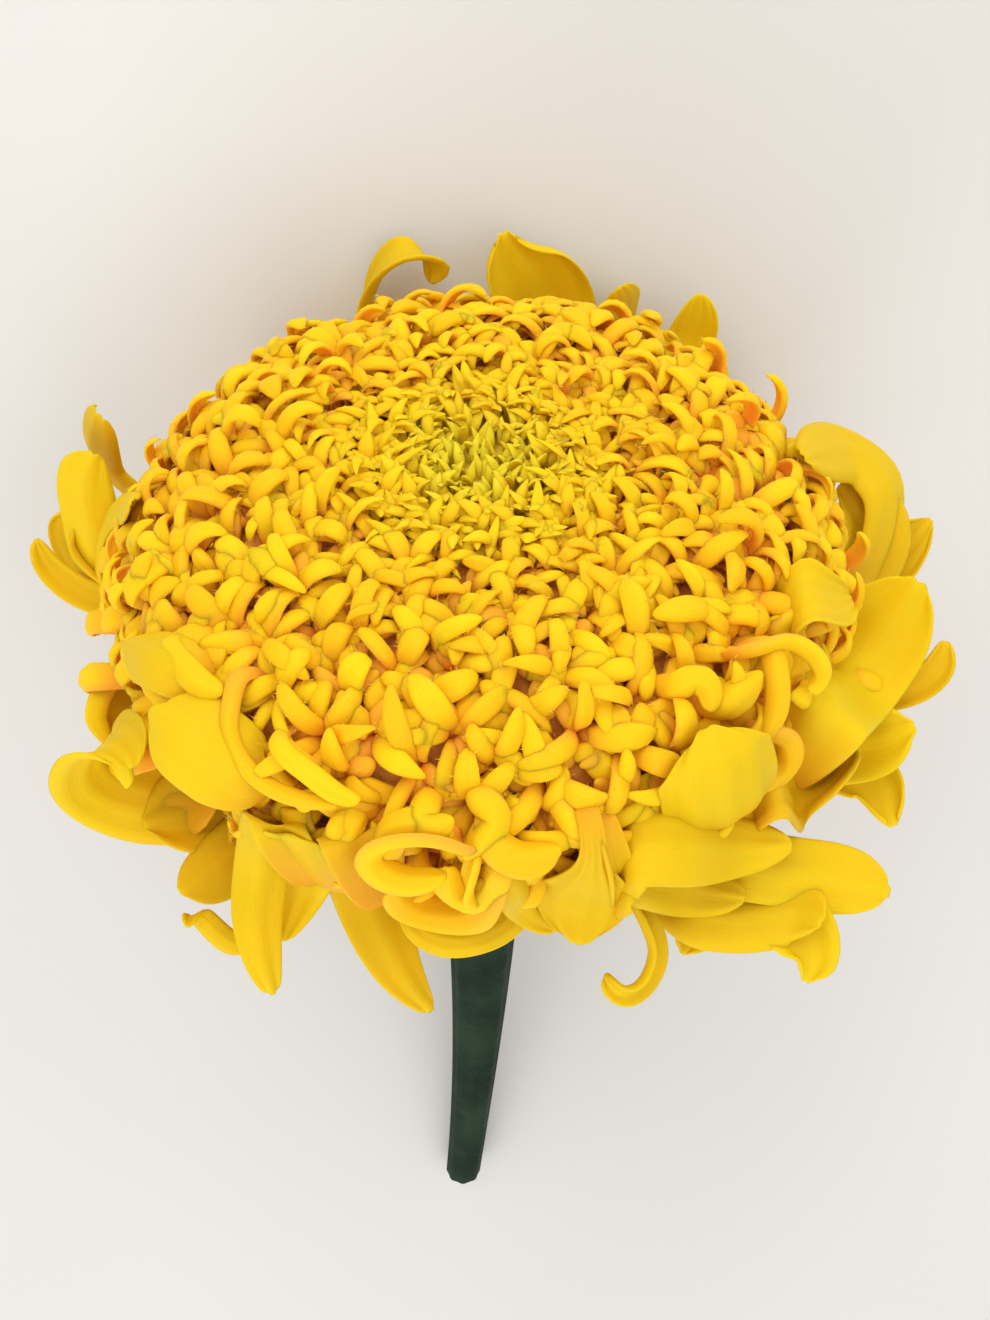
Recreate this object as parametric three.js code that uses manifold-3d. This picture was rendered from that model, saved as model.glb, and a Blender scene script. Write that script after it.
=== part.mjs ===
// A large double marigold head on a length of its own stem, lying on a flat surface.
// Millimetres, +Z up. The origin is on the surface, under the middle of the whole flower.
//
// The flower is modelled upright in its own frame: z runs up the axis out of the face, and z = 0 is
// where the dome of florets is widest. Azimuth 270 is the side that faces up once the flower lies down.
import * as THREE from 'three';
import { mergeVertices } from 'three/addons/utils/BufferGeometryUtils.js';
import Module from 'manifold-3d';

const wasm = await Module();
wasm.setup();

// ---- Driving dimensions ----
const DOME_RADIUS = 40; // tips of the disc florets, at the widest
const DOME_RISE = 20.6; // from the widest level up to the tips at the middle
const DOME_DROP = 16.6; // how deep the same curve would run below the widest level
const DOME_POWER = 2.7; // 2 would be an ellipse, more gives the broad shoulders
const DOME_FOOT = -8.6; // lowest whorl of disc florets
const DOME_END_ANGLE = 0.8 * Math.PI; // the curve is used from the top down to here
const FLORET_DEPTH = 6.2; // from the floret tips down to the core
const CORE_RADIUS = 33; // of the core, at the foot of the dome

const YOUNG_RADIUS = 12; // patch of unopened florets
const YOUNG_FLOOR = 9.5; // underside of that patch, let into the dome
const YOUNG_HEIGHT = 6; // one unopened floret
const YOUNG_GIRTH = 1.45; // its radius at the foot
const YOUNG_SUNK = 0.6; // how deep that foot is sunk

const CUP_MOUTH = 12.2; // outer radius of the green cup at the notches between its teeth
const CUP_RIM = -26; // level of those notches
const CUP_TOOTH = 4; // height of a tooth
const CUP_FLARE = 0.7; // how far the teeth lean out
const CUP_BELLY = [11, -36]; // outer radius and level half way down
const CUP_HEEL = [7.6, -43]; // and near the foot
const CUP_FOOT = [5.3, -47]; // where the cup meets the stem
const CUP_WALL = 1.3; // thickness at the mouth
const CUP_RIB = 0.03; // ribs stand out, and grooves go in, by this share of the radius
const CUP_TEETH = 12;

const COLLAR_RADIUS = 31; // the floret stalks are one body out to here
const UNDER_DOME_RADIUS = 12; // where the cone under the dome flattens
const UNDER_DOME = -17.5; // level of the dome's underside there
const UNDER_MIDDLE = -18.5; // and at the axis

const STEM_TOP_RADIUS = 5.1;
const STEM_END_RADIUS = 2.5;
const STEM_TAPER = 1.3; // above 1 the stem slims quickly below the cup
const STEM_END = new THREE.Vector3(-3.2, -5.2, -117); // middle of the cut end
const STEM_FLUTES = 8;
const STEM_FLUTE_DEPTH = 0.07; // share of the radius

const LIE_TILT = 24; // degrees that the face looks up when the flower lies on its side
const LIE_HEIGHT = 44.8; // height of the dome's middle above the surface

const BLADE = 0.8; // petal thickness
const GAP = 0.3; // clearance between pieces that touch
const SLIVER = 0.12; // shortest edge worth keeping
const FAR = 40; // beyond everything above the dome

const DISC_COUNT = 61;
const DISC_LOBES = 3;
const YOUNG_COUNT = 80;
const BEHIND_COUNT = 11;
const BELOW_COUNT = 12;

const FINISH = {
  stem: { color: 0x4f6e56, roughness: 0.65, metalness: 0 },
  involucre: { color: 0x5b7a4e, roughness: 0.7, metalness: 0 },
  ray_florets: { color: 0xf5bb08, roughness: 0.55, metalness: 0 },
  disc_florets: { color: 0xf7c40a, roughness: 0.6, metalness: 0 },
  young_florets: { color: 0xb9b02c, roughness: 0.65, metalness: 0 },
};

const DEGREE = Math.PI / 180;
const GOLDEN_ANGLE = 137.508 * DEGREE;

// ---- Small helpers ----

// A repeatable scatter: each layout number gives its own draws between 0 and 1 for item and use.
function scatter(layout) {
  return (item, use) => {
    const value = Math.sin(item * 12.9898 + (layout * 100 + use) * 78.233) * 43758.5453;
    return value - Math.floor(value);
  };
}

const discDraw = scatter(1);
const rayDraw = scatter(2);
const youngDraw = scatter(0);

function around(azimuth, radius, z) {
  return new THREE.Vector3(radius * Math.cos(azimuth), radius * Math.sin(azimuth), z);
}

// Keeps position and triangles only, with shared corners merged and every face pointing out.
function closed(geometry) {
  const bare = geometry.clone();
  for (const name of Object.keys(bare.attributes)) {
    if (name !== 'position') bare.deleteAttribute(name);
  }
  const merged = mergeVertices(bare, 1e-4);
  const position = merged.attributes.position;
  const index = merged.index.array;
  const corner = [0, 1, 2].map(() => new THREE.Vector3());
  const kept = [];
  let volume = 0;
  for (let i = 0; i < index.length; i += 3) {
    const [a, b, c] = [index[i], index[i + 1], index[i + 2]];
    if (a === b || b === c || c === a) continue;
    kept.push(a, b, c);
    [a, b, c].forEach((vertex, k) => corner[k].fromBufferAttribute(position, vertex));
    volume += corner[0].dot(corner[1].clone().cross(corner[2]));
  }
  if (volume < 0) {
    for (let i = 0; i < kept.length; i += 3) [kept[i], kept[i + 1]] = [kept[i + 1], kept[i]];
  }
  merged.setIndex(kept);
  return merged;
}

function solidFrom(geometry) {
  const mesh = closed(geometry);
  const vertProperties = new Float32Array(mesh.attributes.position.array);
  const triVerts = new Uint32Array(mesh.index.array);
  return new wasm.Manifold(new wasm.Mesh({ numProp: 3, vertProperties, triVerts }));
}

function geometryFrom(solid) {
  const mesh = solid.getMesh();
  const geometry = new THREE.BufferGeometry();
  geometry.setAttribute('position', new THREE.BufferAttribute(mesh.vertProperties, 3));
  geometry.setIndex(new THREE.BufferAttribute(mesh.triVerts, 1));
  return geometry;
}

// The one body that the rest is rooted in: a loose scrap is dropped.
function largest(solid) {
  const bodies = solid.decompose();
  return bodies.reduce((best, body) => (body.volume() > best.volume() ? body : best));
}

// Joins many solids two by two.
function fuse(solids) {
  let row = solids;
  while (row.length > 1) {
    const next = [];
    for (let i = 0; i < row.length; i += 2) {
      next.push(i + 1 < row.length ? row[i].add(row[i + 1]) : row[i]);
    }
    row = next;
  }
  return largest(row[0]);
}

// Merges the slivers that crossing pieces leave.
function cleaned(solid) {
  return largest(solid.asOriginal().simplify(SLIVER));
}

// A turned solid about the flower's axis, from [radius, z] pairs.
function turned(profile, segments) {
  const points = profile.map(([radius, z]) => new THREE.Vector2(radius, z));
  return new THREE.LatheGeometry(points, segments).rotateX(Math.PI / 2);
}

// ---- The dome's shape ----

// The dome's curve: angle 0 is the top and 90 degrees the widest level. inset moves it inwards.
function domeCurve(angle, inset) {
  const side = Math.pow(Math.abs(Math.sin(angle)), 2 / DOME_POWER);
  const up = Math.sign(Math.cos(angle)) * Math.pow(Math.abs(Math.cos(angle)), 2 / DOME_POWER);
  const height = up > 0 ? DOME_RISE - inset : DOME_DROP - inset;
  return [side * (DOME_RADIUS - inset), up * height];
}

// That curve from the top down to a level, as a list of steps.
function domeSteps(inset, bottom, count) {
  const steps = [];
  for (let i = 0; i <= count; i++) {
    const [radius, z] = domeCurve((i / count) * DOME_END_ANGLE, inset);
    if (z < bottom) break;
    steps.push([radius, z]);
  }
  return steps;
}

// Angles down the curve that share the dome's area equally between the florets.
function equalAreaAngles(count, inset, firstRadius, lastLevel) {
  const fine = 2000;
  const angles = [];
  const areas = [];
  let total = 0;
  let previous = domeCurve(0, inset);
  for (let i = 1; i <= fine; i++) {
    const angle = (i / fine) * DOME_END_ANGLE;
    const here = domeCurve(angle, inset);
    const length = Math.hypot(here[0] - previous[0], here[1] - previous[1]);
    if (here[0] > firstRadius || here[1] < 0) total += length * here[0];
    previous = here;
    angles.push(angle);
    areas.push(total);
    if (here[1] < lastLevel) break;
  }
  return Array.from({ length: count }, (_, i) => {
    const wanted = ((i + 0.5) / count) * total;
    return angles[areas.findIndex((area) => area >= wanted)];
  });
}

// The spot on the core for an angle and azimuth, with the directions out of, down and round the dome.
function domeSpot(angle, azimuth, inset) {
  const here = domeCurve(angle, inset);
  const next = domeCurve(angle + 0.02, inset);
  const slope = new THREE.Vector2(next[0] - here[0], next[1] - here[1]).normalize();
  return {
    root: around(azimuth, here[0], here[1]),
    up: around(azimuth, -slope.y, slope.x),
    down: around(azimuth, slope.x, slope.y),
    side: around(azimuth + Math.PI / 2, 1, 0),
  };
}

// ---- Room that the pieces leave each other ----

// Room kept by the disc florets: the ray florets stay outside it.
function discRoom(clearance) {
  const spare = 0.9;
  const foot = DOME_FOOT - 2.4 - clearance;
  const profile = [
    ...domeSteps(-spare - clearance, DOME_FOOT - 1, 16),
    [36.6 + clearance, foot],
    [UNDER_DOME_RADIUS, UNDER_DOME - clearance],
    [0, UNDER_MIDDLE - clearance],
  ];
  return solidFrom(turned(profile, 24));
}

// Room kept by the green cup's wall, ribs and teeth.
function cupRoom() {
  const ribbed = 0.5 + GAP;
  const top = CUP_RIM + CUP_TOOTH + GAP;
  const inside = CUP_MOUTH - CUP_WALL - GAP;
  const profile = [
    [0, CUP_FOOT[1] - 1],
    [CUP_FOOT[0] + 1.1, CUP_FOOT[1] - 1],
    [CUP_BELLY[0] + ribbed, CUP_BELLY[1]],
    [CUP_MOUTH + ribbed, CUP_RIM],
    [CUP_MOUTH + 2 * CUP_FLARE + GAP, top],
    [inside + 0.9, top],
    [inside, CUP_RIM],
    [inside - 1.4, CUP_BELLY[1]],
    [CUP_FOOT[0] - 0.7, CUP_HEEL[1]],
    [0, CUP_HEEL[1]],
  ];
  return solidFrom(turned(profile, 36));
}

// Height of a point of the flower above the surface that it lies on.
const TILT_COS = Math.cos(LIE_TILT * DEGREE);
const TILT_SIN = Math.sin(LIE_TILT * DEGREE);
const FLOOR_NORMAL = new THREE.Vector3(0, -TILT_COS, TILT_SIN);

function heightAbove(point) {
  return LIE_HEIGHT + FLOOR_NORMAL.dot(point);
}

// Everything above that surface, as one large block.
function aboveFloor() {
  const side = 400;
  const block = new THREE.BoxGeometry(side, side, side);
  block.applyQuaternion(new THREE.Quaternion().setFromUnitVectors(new THREE.Vector3(0, 0, 1), FLOOR_NORMAL));
  const middle = FLOOR_NORMAL.clone().multiplyScalar(side / 2 - LIE_HEIGHT);
  block.translate(middle.x, middle.y, middle.z);
  return solidFrom(block);
}

// ---- Disc florets ----

// One lobe, root to tip: height above the core, reach to the side, half width.
const HOOK = [[-1.5, 1.2, 1.6], [2.6, 1.8, 2.4], [3.6, 4.9, 2.55], [-0.6, 8.3, 0]];

// A three-sided cone bent over, its rings following the hook from root to tip.
function hookGeometry(root, up, out, size) {
  const rings = HOOK.length - 1;
  const cone = new THREE.ConeGeometry(1, 1, 3, rings);
  const position = cone.attributes.position;
  const side = new THREE.Vector3().crossVectors(up, out);
  for (let i = 0; i < position.count; i++) {
    const step = Math.round((position.getY(i) + 0.5) * rings);
    const [height, reach, half] = HOOK[step];
    const before = HOOK[Math.max(0, step - 1)];
    const after = HOOK[Math.min(rings, step + 1)];
    const run = new THREE.Vector2(after[1] - before[1], after[0] - before[0]).normalize();
    const coneRadius = 1 - step / rings || 1;
    const across = (position.getX(i) / coneRadius) * half;
    const thick = (position.getZ(i) / coneRadius) * half;
    const place = root.clone();
    place.addScaledVector(up, height * size + thick * run.x);
    place.addScaledVector(out, reach * size - thick * run.y);
    place.addScaledVector(side, across);
    position.setXYZ(i, place.x, place.y, place.z);
  }
  return cone;
}

function discFlorets() {
  const core = [
    ...domeSteps(FLORET_DEPTH, DOME_FOOT, 10),
    [CORE_RADIUS, DOME_FOOT - 1],
    [UNDER_DOME_RADIUS, UNDER_DOME],
    [0, UNDER_MIDDLE],
  ];
  const solids = [solidFrom(turned(core, 20))];
  const angles = equalAreaAngles(DISC_COUNT, FLORET_DEPTH, YOUNG_RADIUS - 1.5, DOME_FOOT + 1.5);
  angles.forEach((angle, i) => {
    const { root, up, down, side } = domeSpot(angle, i * GOLDEN_ANGLE, FLORET_DEPTH);
    const start = discDraw(i, 1) * 2 * Math.PI;
    for (let k = 0; k < DISC_LOBES; k++) {
      const share = (k + 0.3 * (discDraw(i, 2 + k) - 0.5)) / DISC_LOBES;
      const turn = start + share * 2 * Math.PI;
      const out = down.clone().multiplyScalar(Math.cos(turn)).addScaledVector(side, Math.sin(turn));
      const size = 0.9 + 0.16 * discDraw(i, 6 + k);
      solids.push(solidFrom(hookGeometry(root, up, out, size)));
    }
  });
  const well = [[0, YOUNG_FLOOR], [YOUNG_RADIUS, YOUNG_FLOOR], [YOUNG_RADIUS, FAR], [0, FAR]];
  return cleaned(fuse(solids).subtract(solidFrom(turned(well, 20))).intersect(discRoom(0)));
}

// ---- Young florets ----

function youngFlorets() {
  const edge = YOUNG_RADIUS - GAP;
  const floor = YOUNG_FLOOR + GAP;
  const top = DOME_RISE - FLORET_DEPTH;
  const plug = [[0, floor], [edge, floor], [edge, top], [edge * 0.5, top + 0.5], [0, top + 0.7]];
  const solids = [solidFrom(turned(plug, 28))];
  for (let i = 0; i < YOUNG_COUNT; i++) {
    const radius = (edge - 1.1) * Math.sqrt((i + 0.5) / YOUNG_COUNT);
    const azimuth = i * GOLDEN_ANGLE;
    const spin = youngDraw(i, 21) * 2 * Math.PI;
    const bud = new THREE.ConeGeometry(YOUNG_GIRTH, YOUNG_HEIGHT, 3, 1, false, spin);
    bud.translate(0, YOUNG_HEIGHT / 2 - YOUNG_SUNK, 0).rotateX(Math.PI / 2);
    const lean = 0.15 - 0.3 * youngDraw(i, 22) - 0.15 * (radius / edge);
    const hinge = around(azimuth + Math.PI / 2, 1, 0);
    bud.applyMatrix4(new THREE.Matrix4().makeRotationAxis(hinge, lean));
    const place = around(azimuth, radius, top);
    bud.translate(place.x, place.y, place.z);
    solids.push(solidFrom(bud));
  }
  const room = [[0, YOUNG_FLOOR], [edge, YOUNG_FLOOR], [edge, FAR], [0, FAR]];
  return cleaned(fuse(solids).intersect(solidFrom(turned(room, 28))));
}

// ---- Ray florets ----

// Each petal leaves the collar under the dome and opens into a blade. azimuth and turn are degrees, mid
// and tip are [radius, z], width is the blade's, and cup bends its edges up or, below zero, down.
const PETALS_SEEN = [
  // Left of the head, from the far side to the near one.
  { azimuth: 158, turn: -3, mid: [46.0, 0], tip: [47.0, 9.5], width: 4.6, cup: 0.5 },
  { azimuth: 166, turn: -2, mid: [46.5, -5], tip: [50.0, 2], width: 9.5, cup: 0.8 },
  { azimuth: 163, turn: 6, mid: [43.6, -5], tip: [45.5, 6], width: 9, cup: 0.6 },
  { azimuth: 178, turn: -10, mid: [47.0, -9], tip: [52.0, -2], width: 4, cup: 0.4 },
  { azimuth: 192, turn: 1, mid: [42.0, -10], tip: [46.0, -4], width: 9, cup: 0.9 },
  { azimuth: 219, turn: -21, mid: [43.0, -6], tip: [44.5, 0], width: 12, cup: -0.5 },
  { azimuth: 206, turn: -2, mid: [42.0, -13], tip: [46.5, -10], width: 9, cup: 1.1 },
  { azimuth: 225, turn: -15, mid: [41.0, -14], tip: [43.5, -14], width: 9.5, cup: -0.5 },
  { azimuth: 232, turn: -5, mid: [40.0, -14], tip: [46.0, -16], width: 6.5, cup: -0.4 },
  { azimuth: 240, turn: -14, mid: [41.0, -20], tip: [44.0, -18], width: 3.6, cup: 0.6 },
  { azimuth: 231, turn: 12, mid: [41.5, -9], tip: [45.0, -20], width: 4.8, cup: -0.5 },
  { azimuth: 240, turn: 3, mid: [36.0, -16], tip: [40.0, -21], width: 6.5, cup: 0.4 },
  { azimuth: 246, turn: 18, mid: [37.0, -13], tip: [42.5, -20.5], width: 7, cup: -0.5 },
  // The near side, over the stem.
  { azimuth: 254, turn: 3, mid: [36.5, -12], tip: [39.5, -13], width: 6, cup: -0.6 },
  { azimuth: 263, turn: 2, mid: [36.5, -12], tip: [40.0, -12], width: 6, cup: -0.6 },
  { azimuth: 273, turn: 3, mid: [36.5, -12], tip: [39.5, -13.5], width: 6.5, cup: -0.6 },
  { azimuth: 281, turn: 3, mid: [37.0, -13.4], tip: [39.5, -16], width: 5, cup: 0.5 },
  { azimuth: 290, turn: -4, mid: [37.0, -11], tip: [39.5, -16], width: 9.5, cup: -0.5 },
  { azimuth: 293, turn: -2, mid: [38.5, -15], tip: [38.0, -21], width: 3.6, cup: 0.5 },
  { azimuth: 300, turn: 1, mid: [37.5, -17], tip: [41.0, -20], width: 5.5, cup: 0.4 },
  // Right of the head, from the near side to the far one.
  { azimuth: 294, turn: 20, mid: [42.5, -8], tip: [47.0, -7], width: 9.5, cup: -0.5 },
  { azimuth: 305, turn: 9, mid: [42.5, -13.5], tip: [48.0, -14.5], width: 8.5, cup: -0.5 },
  { azimuth: 314, turn: 8, mid: [45.0, -11], tip: [53.0, -12], width: 7.5, cup: -0.6 },
  { azimuth: 308, turn: 3, mid: [44.0, -18], tip: [50.0, -20], width: 6, cup: 0.7 },
  { azimuth: 308, turn: 4, mid: [43.5, -4], tip: [43.5, 7.5], width: 10.5, cup: -0.35 },
  { azimuth: 325, turn: 7, mid: [44.5, -6], tip: [46.0, 3], width: 11.5, cup: 0.6 },
  { azimuth: 340, turn: 1, mid: [45.0, -8], tip: [49.5, -3.5], width: 8.5, cup: -0.4 },
  { azimuth: 333, turn: -1, mid: [45.0, -12.5], tip: [50.5, -14.5], width: 6.5, cup: 0.6 },
  { azimuth: 341, turn: 12, mid: [43.5, -3.5], tip: [48.5, 6], width: 11.5, cup: -0.5 },
  { azimuth: 349, turn: 2, mid: [46.0, -7.5], tip: [51.0, -1], width: 4.2, cup: 0.4 },
  { azimuth: 24, turn: -11, mid: [44.0, 4], tip: [49.5, 0], width: 8.5, cup: -0.6 },
  { azimuth: 17, turn: -2, mid: [47.0, -6], tip: [54.0, -4.5], width: 7, cup: 0.5 },
  { azimuth: 8, turn: 1, mid: [44.0, -5], tip: [48.0, -2], width: 9, cup: 0.6 },
  // Standing up behind the dome.
  { azimuth: 105, turn: -7, mid: [44.5, 4], tip: [46.5, 11], width: 6.5, cup: -0.5 },
  { azimuth: 84, turn: 2, mid: [44.5, 3], tip: [47.5, 14.5], width: 12, cup: 0.5 },
  { azimuth: 71, turn: 1, mid: [44.0, 1], tip: [45.0, 9], width: 6, cup: -0.4 },
  { azimuth: 60, turn: 2, mid: [44.0, 1], tip: [46.0, 8.5], width: 6, cup: 0.4 },
];

// The rest of the ring, on the side that the flower lies on, evenly spread.
function petalsBehind() {
  const [first, last] = [28, 153];
  return Array.from({ length: BEHIND_COUNT }, (_, i) => ({
    azimuth: first + (i * (last - first)) / (BEHIND_COUNT - 1) + 4 * (rayDraw(i, 31) - 0.5),
    turn: 8 * (rayDraw(i, 32) - 0.5),
    mid: [43.5 + 2 * rayDraw(i, 33), -9.5 - 3 * rayDraw(i, 34)],
    tip: [49 + 5 * rayDraw(i, 35), -10 - 6 * rayDraw(i, 36) + (i % 3 === 0 ? 6 : 0)],
    width: 8 + 4 * rayDraw(i, 37),
    cup: 1.1 * (rayDraw(i, 38) - 0.5),
  }));
}

// Shorter petals turned back under the dome, shorter still on the side that faces up.
function petalsBelow() {
  return Array.from({ length: BELOW_COUNT }, (_, i) => {
    const azimuth = (i + 0.5) * (360 / BELOW_COUNT) + 5 * (rayDraw(i, 41) - 0.5);
    const toFloor = 0.5 + 0.5 * Math.sin(azimuth * DEGREE);
    return {
      azimuth,
      turn: 8 * (rayDraw(i, 42) - 0.5),
      mid: [27 + 5 * toFloor, -18 - 1.5 * rayDraw(i, 43)],
      tip: [31 + 12 * toFloor, -17.5 - 3 * toFloor - 2 * rayDraw(i, 44)],
      width: 9 + 2.5 * rayDraw(i, 45),
      cup: -0.3,
      turnedBack: true,
    };
  });
}

// Where a petal leaves the collar, and where it passes the dome's edge, as [radius, z].
const OUTER_START = [[27.5, DOME_FOOT - 7], [34.5, DOME_FOOT - 4.2]];
const TURNED_BACK_START = [[14, -21.5], [20, -21.8]];

const CLAW_HALF_WIDTH = 1.3; // the narrow foot of a petal
const CLAW_END = 0.1; // share of the length where the blade starts to widen
const BROADEST = 0.82; // share of the length where it is widest

function petalHalfWidth(along, width) {
  const grow = THREE.MathUtils.smoothstep(along, CLAW_END, BROADEST);
  const tip = Math.max(0, (along - BROADEST) / (1 - BROADEST));
  const blunt = Math.sqrt(1 - 0.86 * tip * tip);
  return THREE.MathUtils.lerp(CLAW_HALF_WIDTH, width / 2, grow) * blunt;
}

function petalSpine({ azimuth, turn, mid, tip, turnedBack }) {
  const [root, edge] = turnedBack ? TURNED_BACK_START : OUTER_START;
  const start = azimuth * DEGREE;
  const sweep = turn * DEGREE;
  const points = [
    around(start, root[0], root[1]),
    around(start, edge[0], edge[1]),
    around(start + sweep * 0.55, mid[0], mid[1]),
    around(start + sweep, tip[0], tip[1]),
  ];
  return new THREE.CatmullRomCurve3(points, false, 'centripetal');
}

// The two faces' points at one spot of a petal, along it from 0 to 1 and across it from -1 to 1.
// Where the petal would pass through the surface that the flower lies on, it is pressed flat on it.
function petalFaces(petal, spine, along, across) {
  const middle = spine.getPoint(along);
  const forward = spine.getTangent(along);
  const side = around(Math.atan2(middle.y, middle.x) - Math.PI / 2, 1, 0);
  side.addScaledVector(forward, -side.dot(forward)).normalize();
  const up = new THREE.Vector3().crossVectors(side, forward).normalize();
  const half = petalHalfWidth(along, petal.width);
  const bend = petal.cup * Math.min(1, along / 0.6) || 1e-3;
  const angle = bend * across;
  middle.addScaledVector(side, (half * Math.sin(angle)) / bend);
  middle.addScaledVector(up, (half * (1 - Math.cos(angle))) / bend);
  const normal = up.multiplyScalar(Math.cos(angle)).addScaledVector(side, -Math.sin(angle));
  const sunk = BLADE / 2 - heightAbove(middle);
  if (sunk > 0) {
    const facing = Math.sign(normal.dot(FLOOR_NORMAL)) || 1;
    middle.addScaledVector(FLOOR_NORMAL, sunk);
    normal.copy(FLOOR_NORMAL).multiplyScalar(facing);
  }
  return [1, -1].map((face) => middle.clone().addScaledVector(normal, (face * BLADE) / 2));
}

// Two grids with the same triangles, BLADE apart, wrapped round the spine and joined at their rim.
function petalGeometry(petal) {
  const spine = petalSpine(petal);
  const across = 2;
  const along = petal.width > 6 ? 6 : 5;
  const grid = new THREE.PlaneGeometry(2, 1, across, along);
  const spots = grid.attributes.position;
  const front = [];
  const back = [];
  for (let i = 0; i < spots.count; i++) {
    const [onFront, onBack] = petalFaces(petal, spine, 0.5 - spots.getY(i), spots.getX(i));
    front.push(onFront);
    back.push(onBack);
  }
  const triangles = Array.from(grid.index.array);
  for (let i = 0; i < grid.index.count; i += 3) {
    const [a, b, c] = triangles.slice(i, i + 3);
    triangles.push(c + spots.count, b + spots.count, a + spots.count);
  }
  const row = across + 1;
  const rim = [];
  for (let i = 0; i < across; i++) rim.push(i);
  for (let j = 0; j < along; j++) rim.push(j * row + across);
  for (let i = across; i > 0; i--) rim.push(along * row + i);
  for (let j = along; j > 0; j--) rim.push(j * row);
  rim.forEach((here, k) => {
    const next = rim[(k + 1) % rim.length];
    triangles.push(here, next, next + spots.count, here, next + spots.count, here + spots.count);
  });
  const geometry = new THREE.BufferGeometry().setFromPoints([...front, ...back]);
  geometry.setIndex(triangles);
  return geometry;
}

function rayFlorets() {
  const inside = CUP_MOUTH - CUP_WALL - GAP;
  const collar = [
    [0, UNDER_MIDDLE - 0.5 - GAP],
    [UNDER_DOME_RADIUS, UNDER_DOME - GAP],
    [COLLAR_RADIUS, -11.6 - GAP],
    [COLLAR_RADIUS, DOME_FOOT - 5.2],
    [14.5, -23.5],
    [inside, CUP_RIM],
    [inside - 1.4, CUP_BELLY[1]],
    [CUP_FOOT[0] - 1.1, CUP_HEEL[1] + 0.5],
    [0, CUP_HEEL[1] + 0.5],
  ];
  const solids = [solidFrom(turned(collar, 36))];
  for (const petal of [...PETALS_SEEN, ...petalsBehind(), ...petalsBelow()]) {
    solids.push(solidFrom(petalGeometry(petal)));
  }
  const bloom = fuse(solids).subtract(discRoom(GAP)).subtract(cupRoom());
  return cleaned(largest(bloom).intersect(aboveFloor()));
}

// ---- Green cup ----

// The joined bracts: a cup with one rib and one pointed tooth for each bract.
function involucre() {
  const inside = CUP_MOUTH - CUP_WALL;
  const wall = [
    [0, CUP_FOOT[1]],
    CUP_FOOT,
    CUP_HEEL,
    CUP_BELLY,
    [CUP_MOUTH, CUP_RIM],
    [inside, CUP_RIM],
    [inside - 1.4, CUP_BELLY[1]],
    [CUP_FOOT[0] - 0.4, CUP_HEEL[1]],
    [0, CUP_HEEL[1]],
  ];
  const cup = turned(wall, CUP_TEETH * 2);
  const position = cup.attributes.position;
  for (let i = 0; i < position.count; i++) {
    const [x, y, z] = [position.getX(i), position.getY(i), position.getZ(i)];
    const radius = Math.hypot(x, y);
    const onTooth = Math.abs(Math.cos((Math.atan2(y, x) * CUP_TEETH) / 2)) > 0.5;
    const atRim = z > CUP_RIM - 0.01;
    const isOutside = radius > inside + 0.05 || (z < CUP_HEEL[1] + 0.01 && radius > CUP_FOOT[0] + 1);
    let swell = 1;
    if (isOutside) swell = onTooth ? 1 + CUP_RIB : 1 - CUP_RIB;
    if (atRim && onTooth) swell = 1 + CUP_FLARE / CUP_MOUTH;
    position.setXYZ(i, x * swell, y * swell, atRim && onTooth ? z + CUP_TOOTH : z);
  }
  return solidFrom(cup);
}

// ---- Stem ----

// A fluted club, thick under the cup, bent to follow a gentle curve down to its cut end.
function stem() {
  const rings = 9;
  const top = CUP_FOOT[1] - GAP;
  const length = top - STEM_END.z;
  const profile = [[0, 0]];
  for (let i = 0; i <= rings; i++) {
    const up = 1 - i / rings;
    const radius = THREE.MathUtils.lerp(STEM_END_RADIUS, STEM_TOP_RADIUS, Math.pow(up, STEM_TAPER));
    profile.push([radius, (up - 1) * length]);
  }
  profile.push([0, -length]);
  const club = turned(profile, STEM_FLUTES * 2);
  const position = club.attributes.position;
  for (let i = 0; i < position.count; i++) {
    const [x, y, z] = [position.getX(i), position.getY(i), position.getZ(i)];
    const groove = (1 - Math.cos(Math.atan2(y, x) * STEM_FLUTES)) / 2;
    const flute = 1 - STEM_FLUTE_DEPTH * groove;
    const lean = (z / length) ** 2;
    position.setXYZ(i, x * flute + STEM_END.x * lean, y * flute + STEM_END.y * lean, top + z);
  }
  return largest(solidFrom(club).intersect(aboveFloor()));
}

// ---- The flower, lying down ----

function piece(name, solid) {
  const mesh = new THREE.Mesh(geometryFrom(solid), new THREE.MeshStandardMaterial(FINISH[name]));
  mesh.name = name;
  return mesh;
}

const flower = new THREE.Group();
flower.add(piece('stem', stem()));
flower.add(piece('involucre', involucre()));
flower.add(piece('ray_florets', rayFlorets()));
flower.add(piece('disc_florets', discFlorets()));
flower.add(piece('young_florets', youngFlorets()));

// The face turns to -Y and looks up by LIE_TILT, and azimuth 270 turns up.
const sideways = new THREE.Vector3(-1, 0, 0);
const downwards = new THREE.Vector3(0, -TILT_SIN, -TILT_COS);
const face = new THREE.Vector3(0, -TILT_COS, TILT_SIN);
flower.quaternion.setFromRotationMatrix(new THREE.Matrix4().makeBasis(sideways, downwards, face));

const marigold = new THREE.Group();
marigold.add(flower);
const box = new THREE.Box3().setFromObject(marigold, true);
flower.position.set(-(box.min.x + box.max.x) / 2, -(box.min.y + box.max.y) / 2, -box.min.z);

export default marigold;
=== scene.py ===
# %% [markdown]
# # A marigold, laid on its side
# The flower is a large double marigold on a cut length of stem. Its head is a dome of curled yellow
# florets with unopened greenish ones in the middle, a rim of broader petals, and a green cup below.
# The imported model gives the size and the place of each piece. This script keeps that frame, and puts
# a finer piece in the place of each plain solid.

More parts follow.
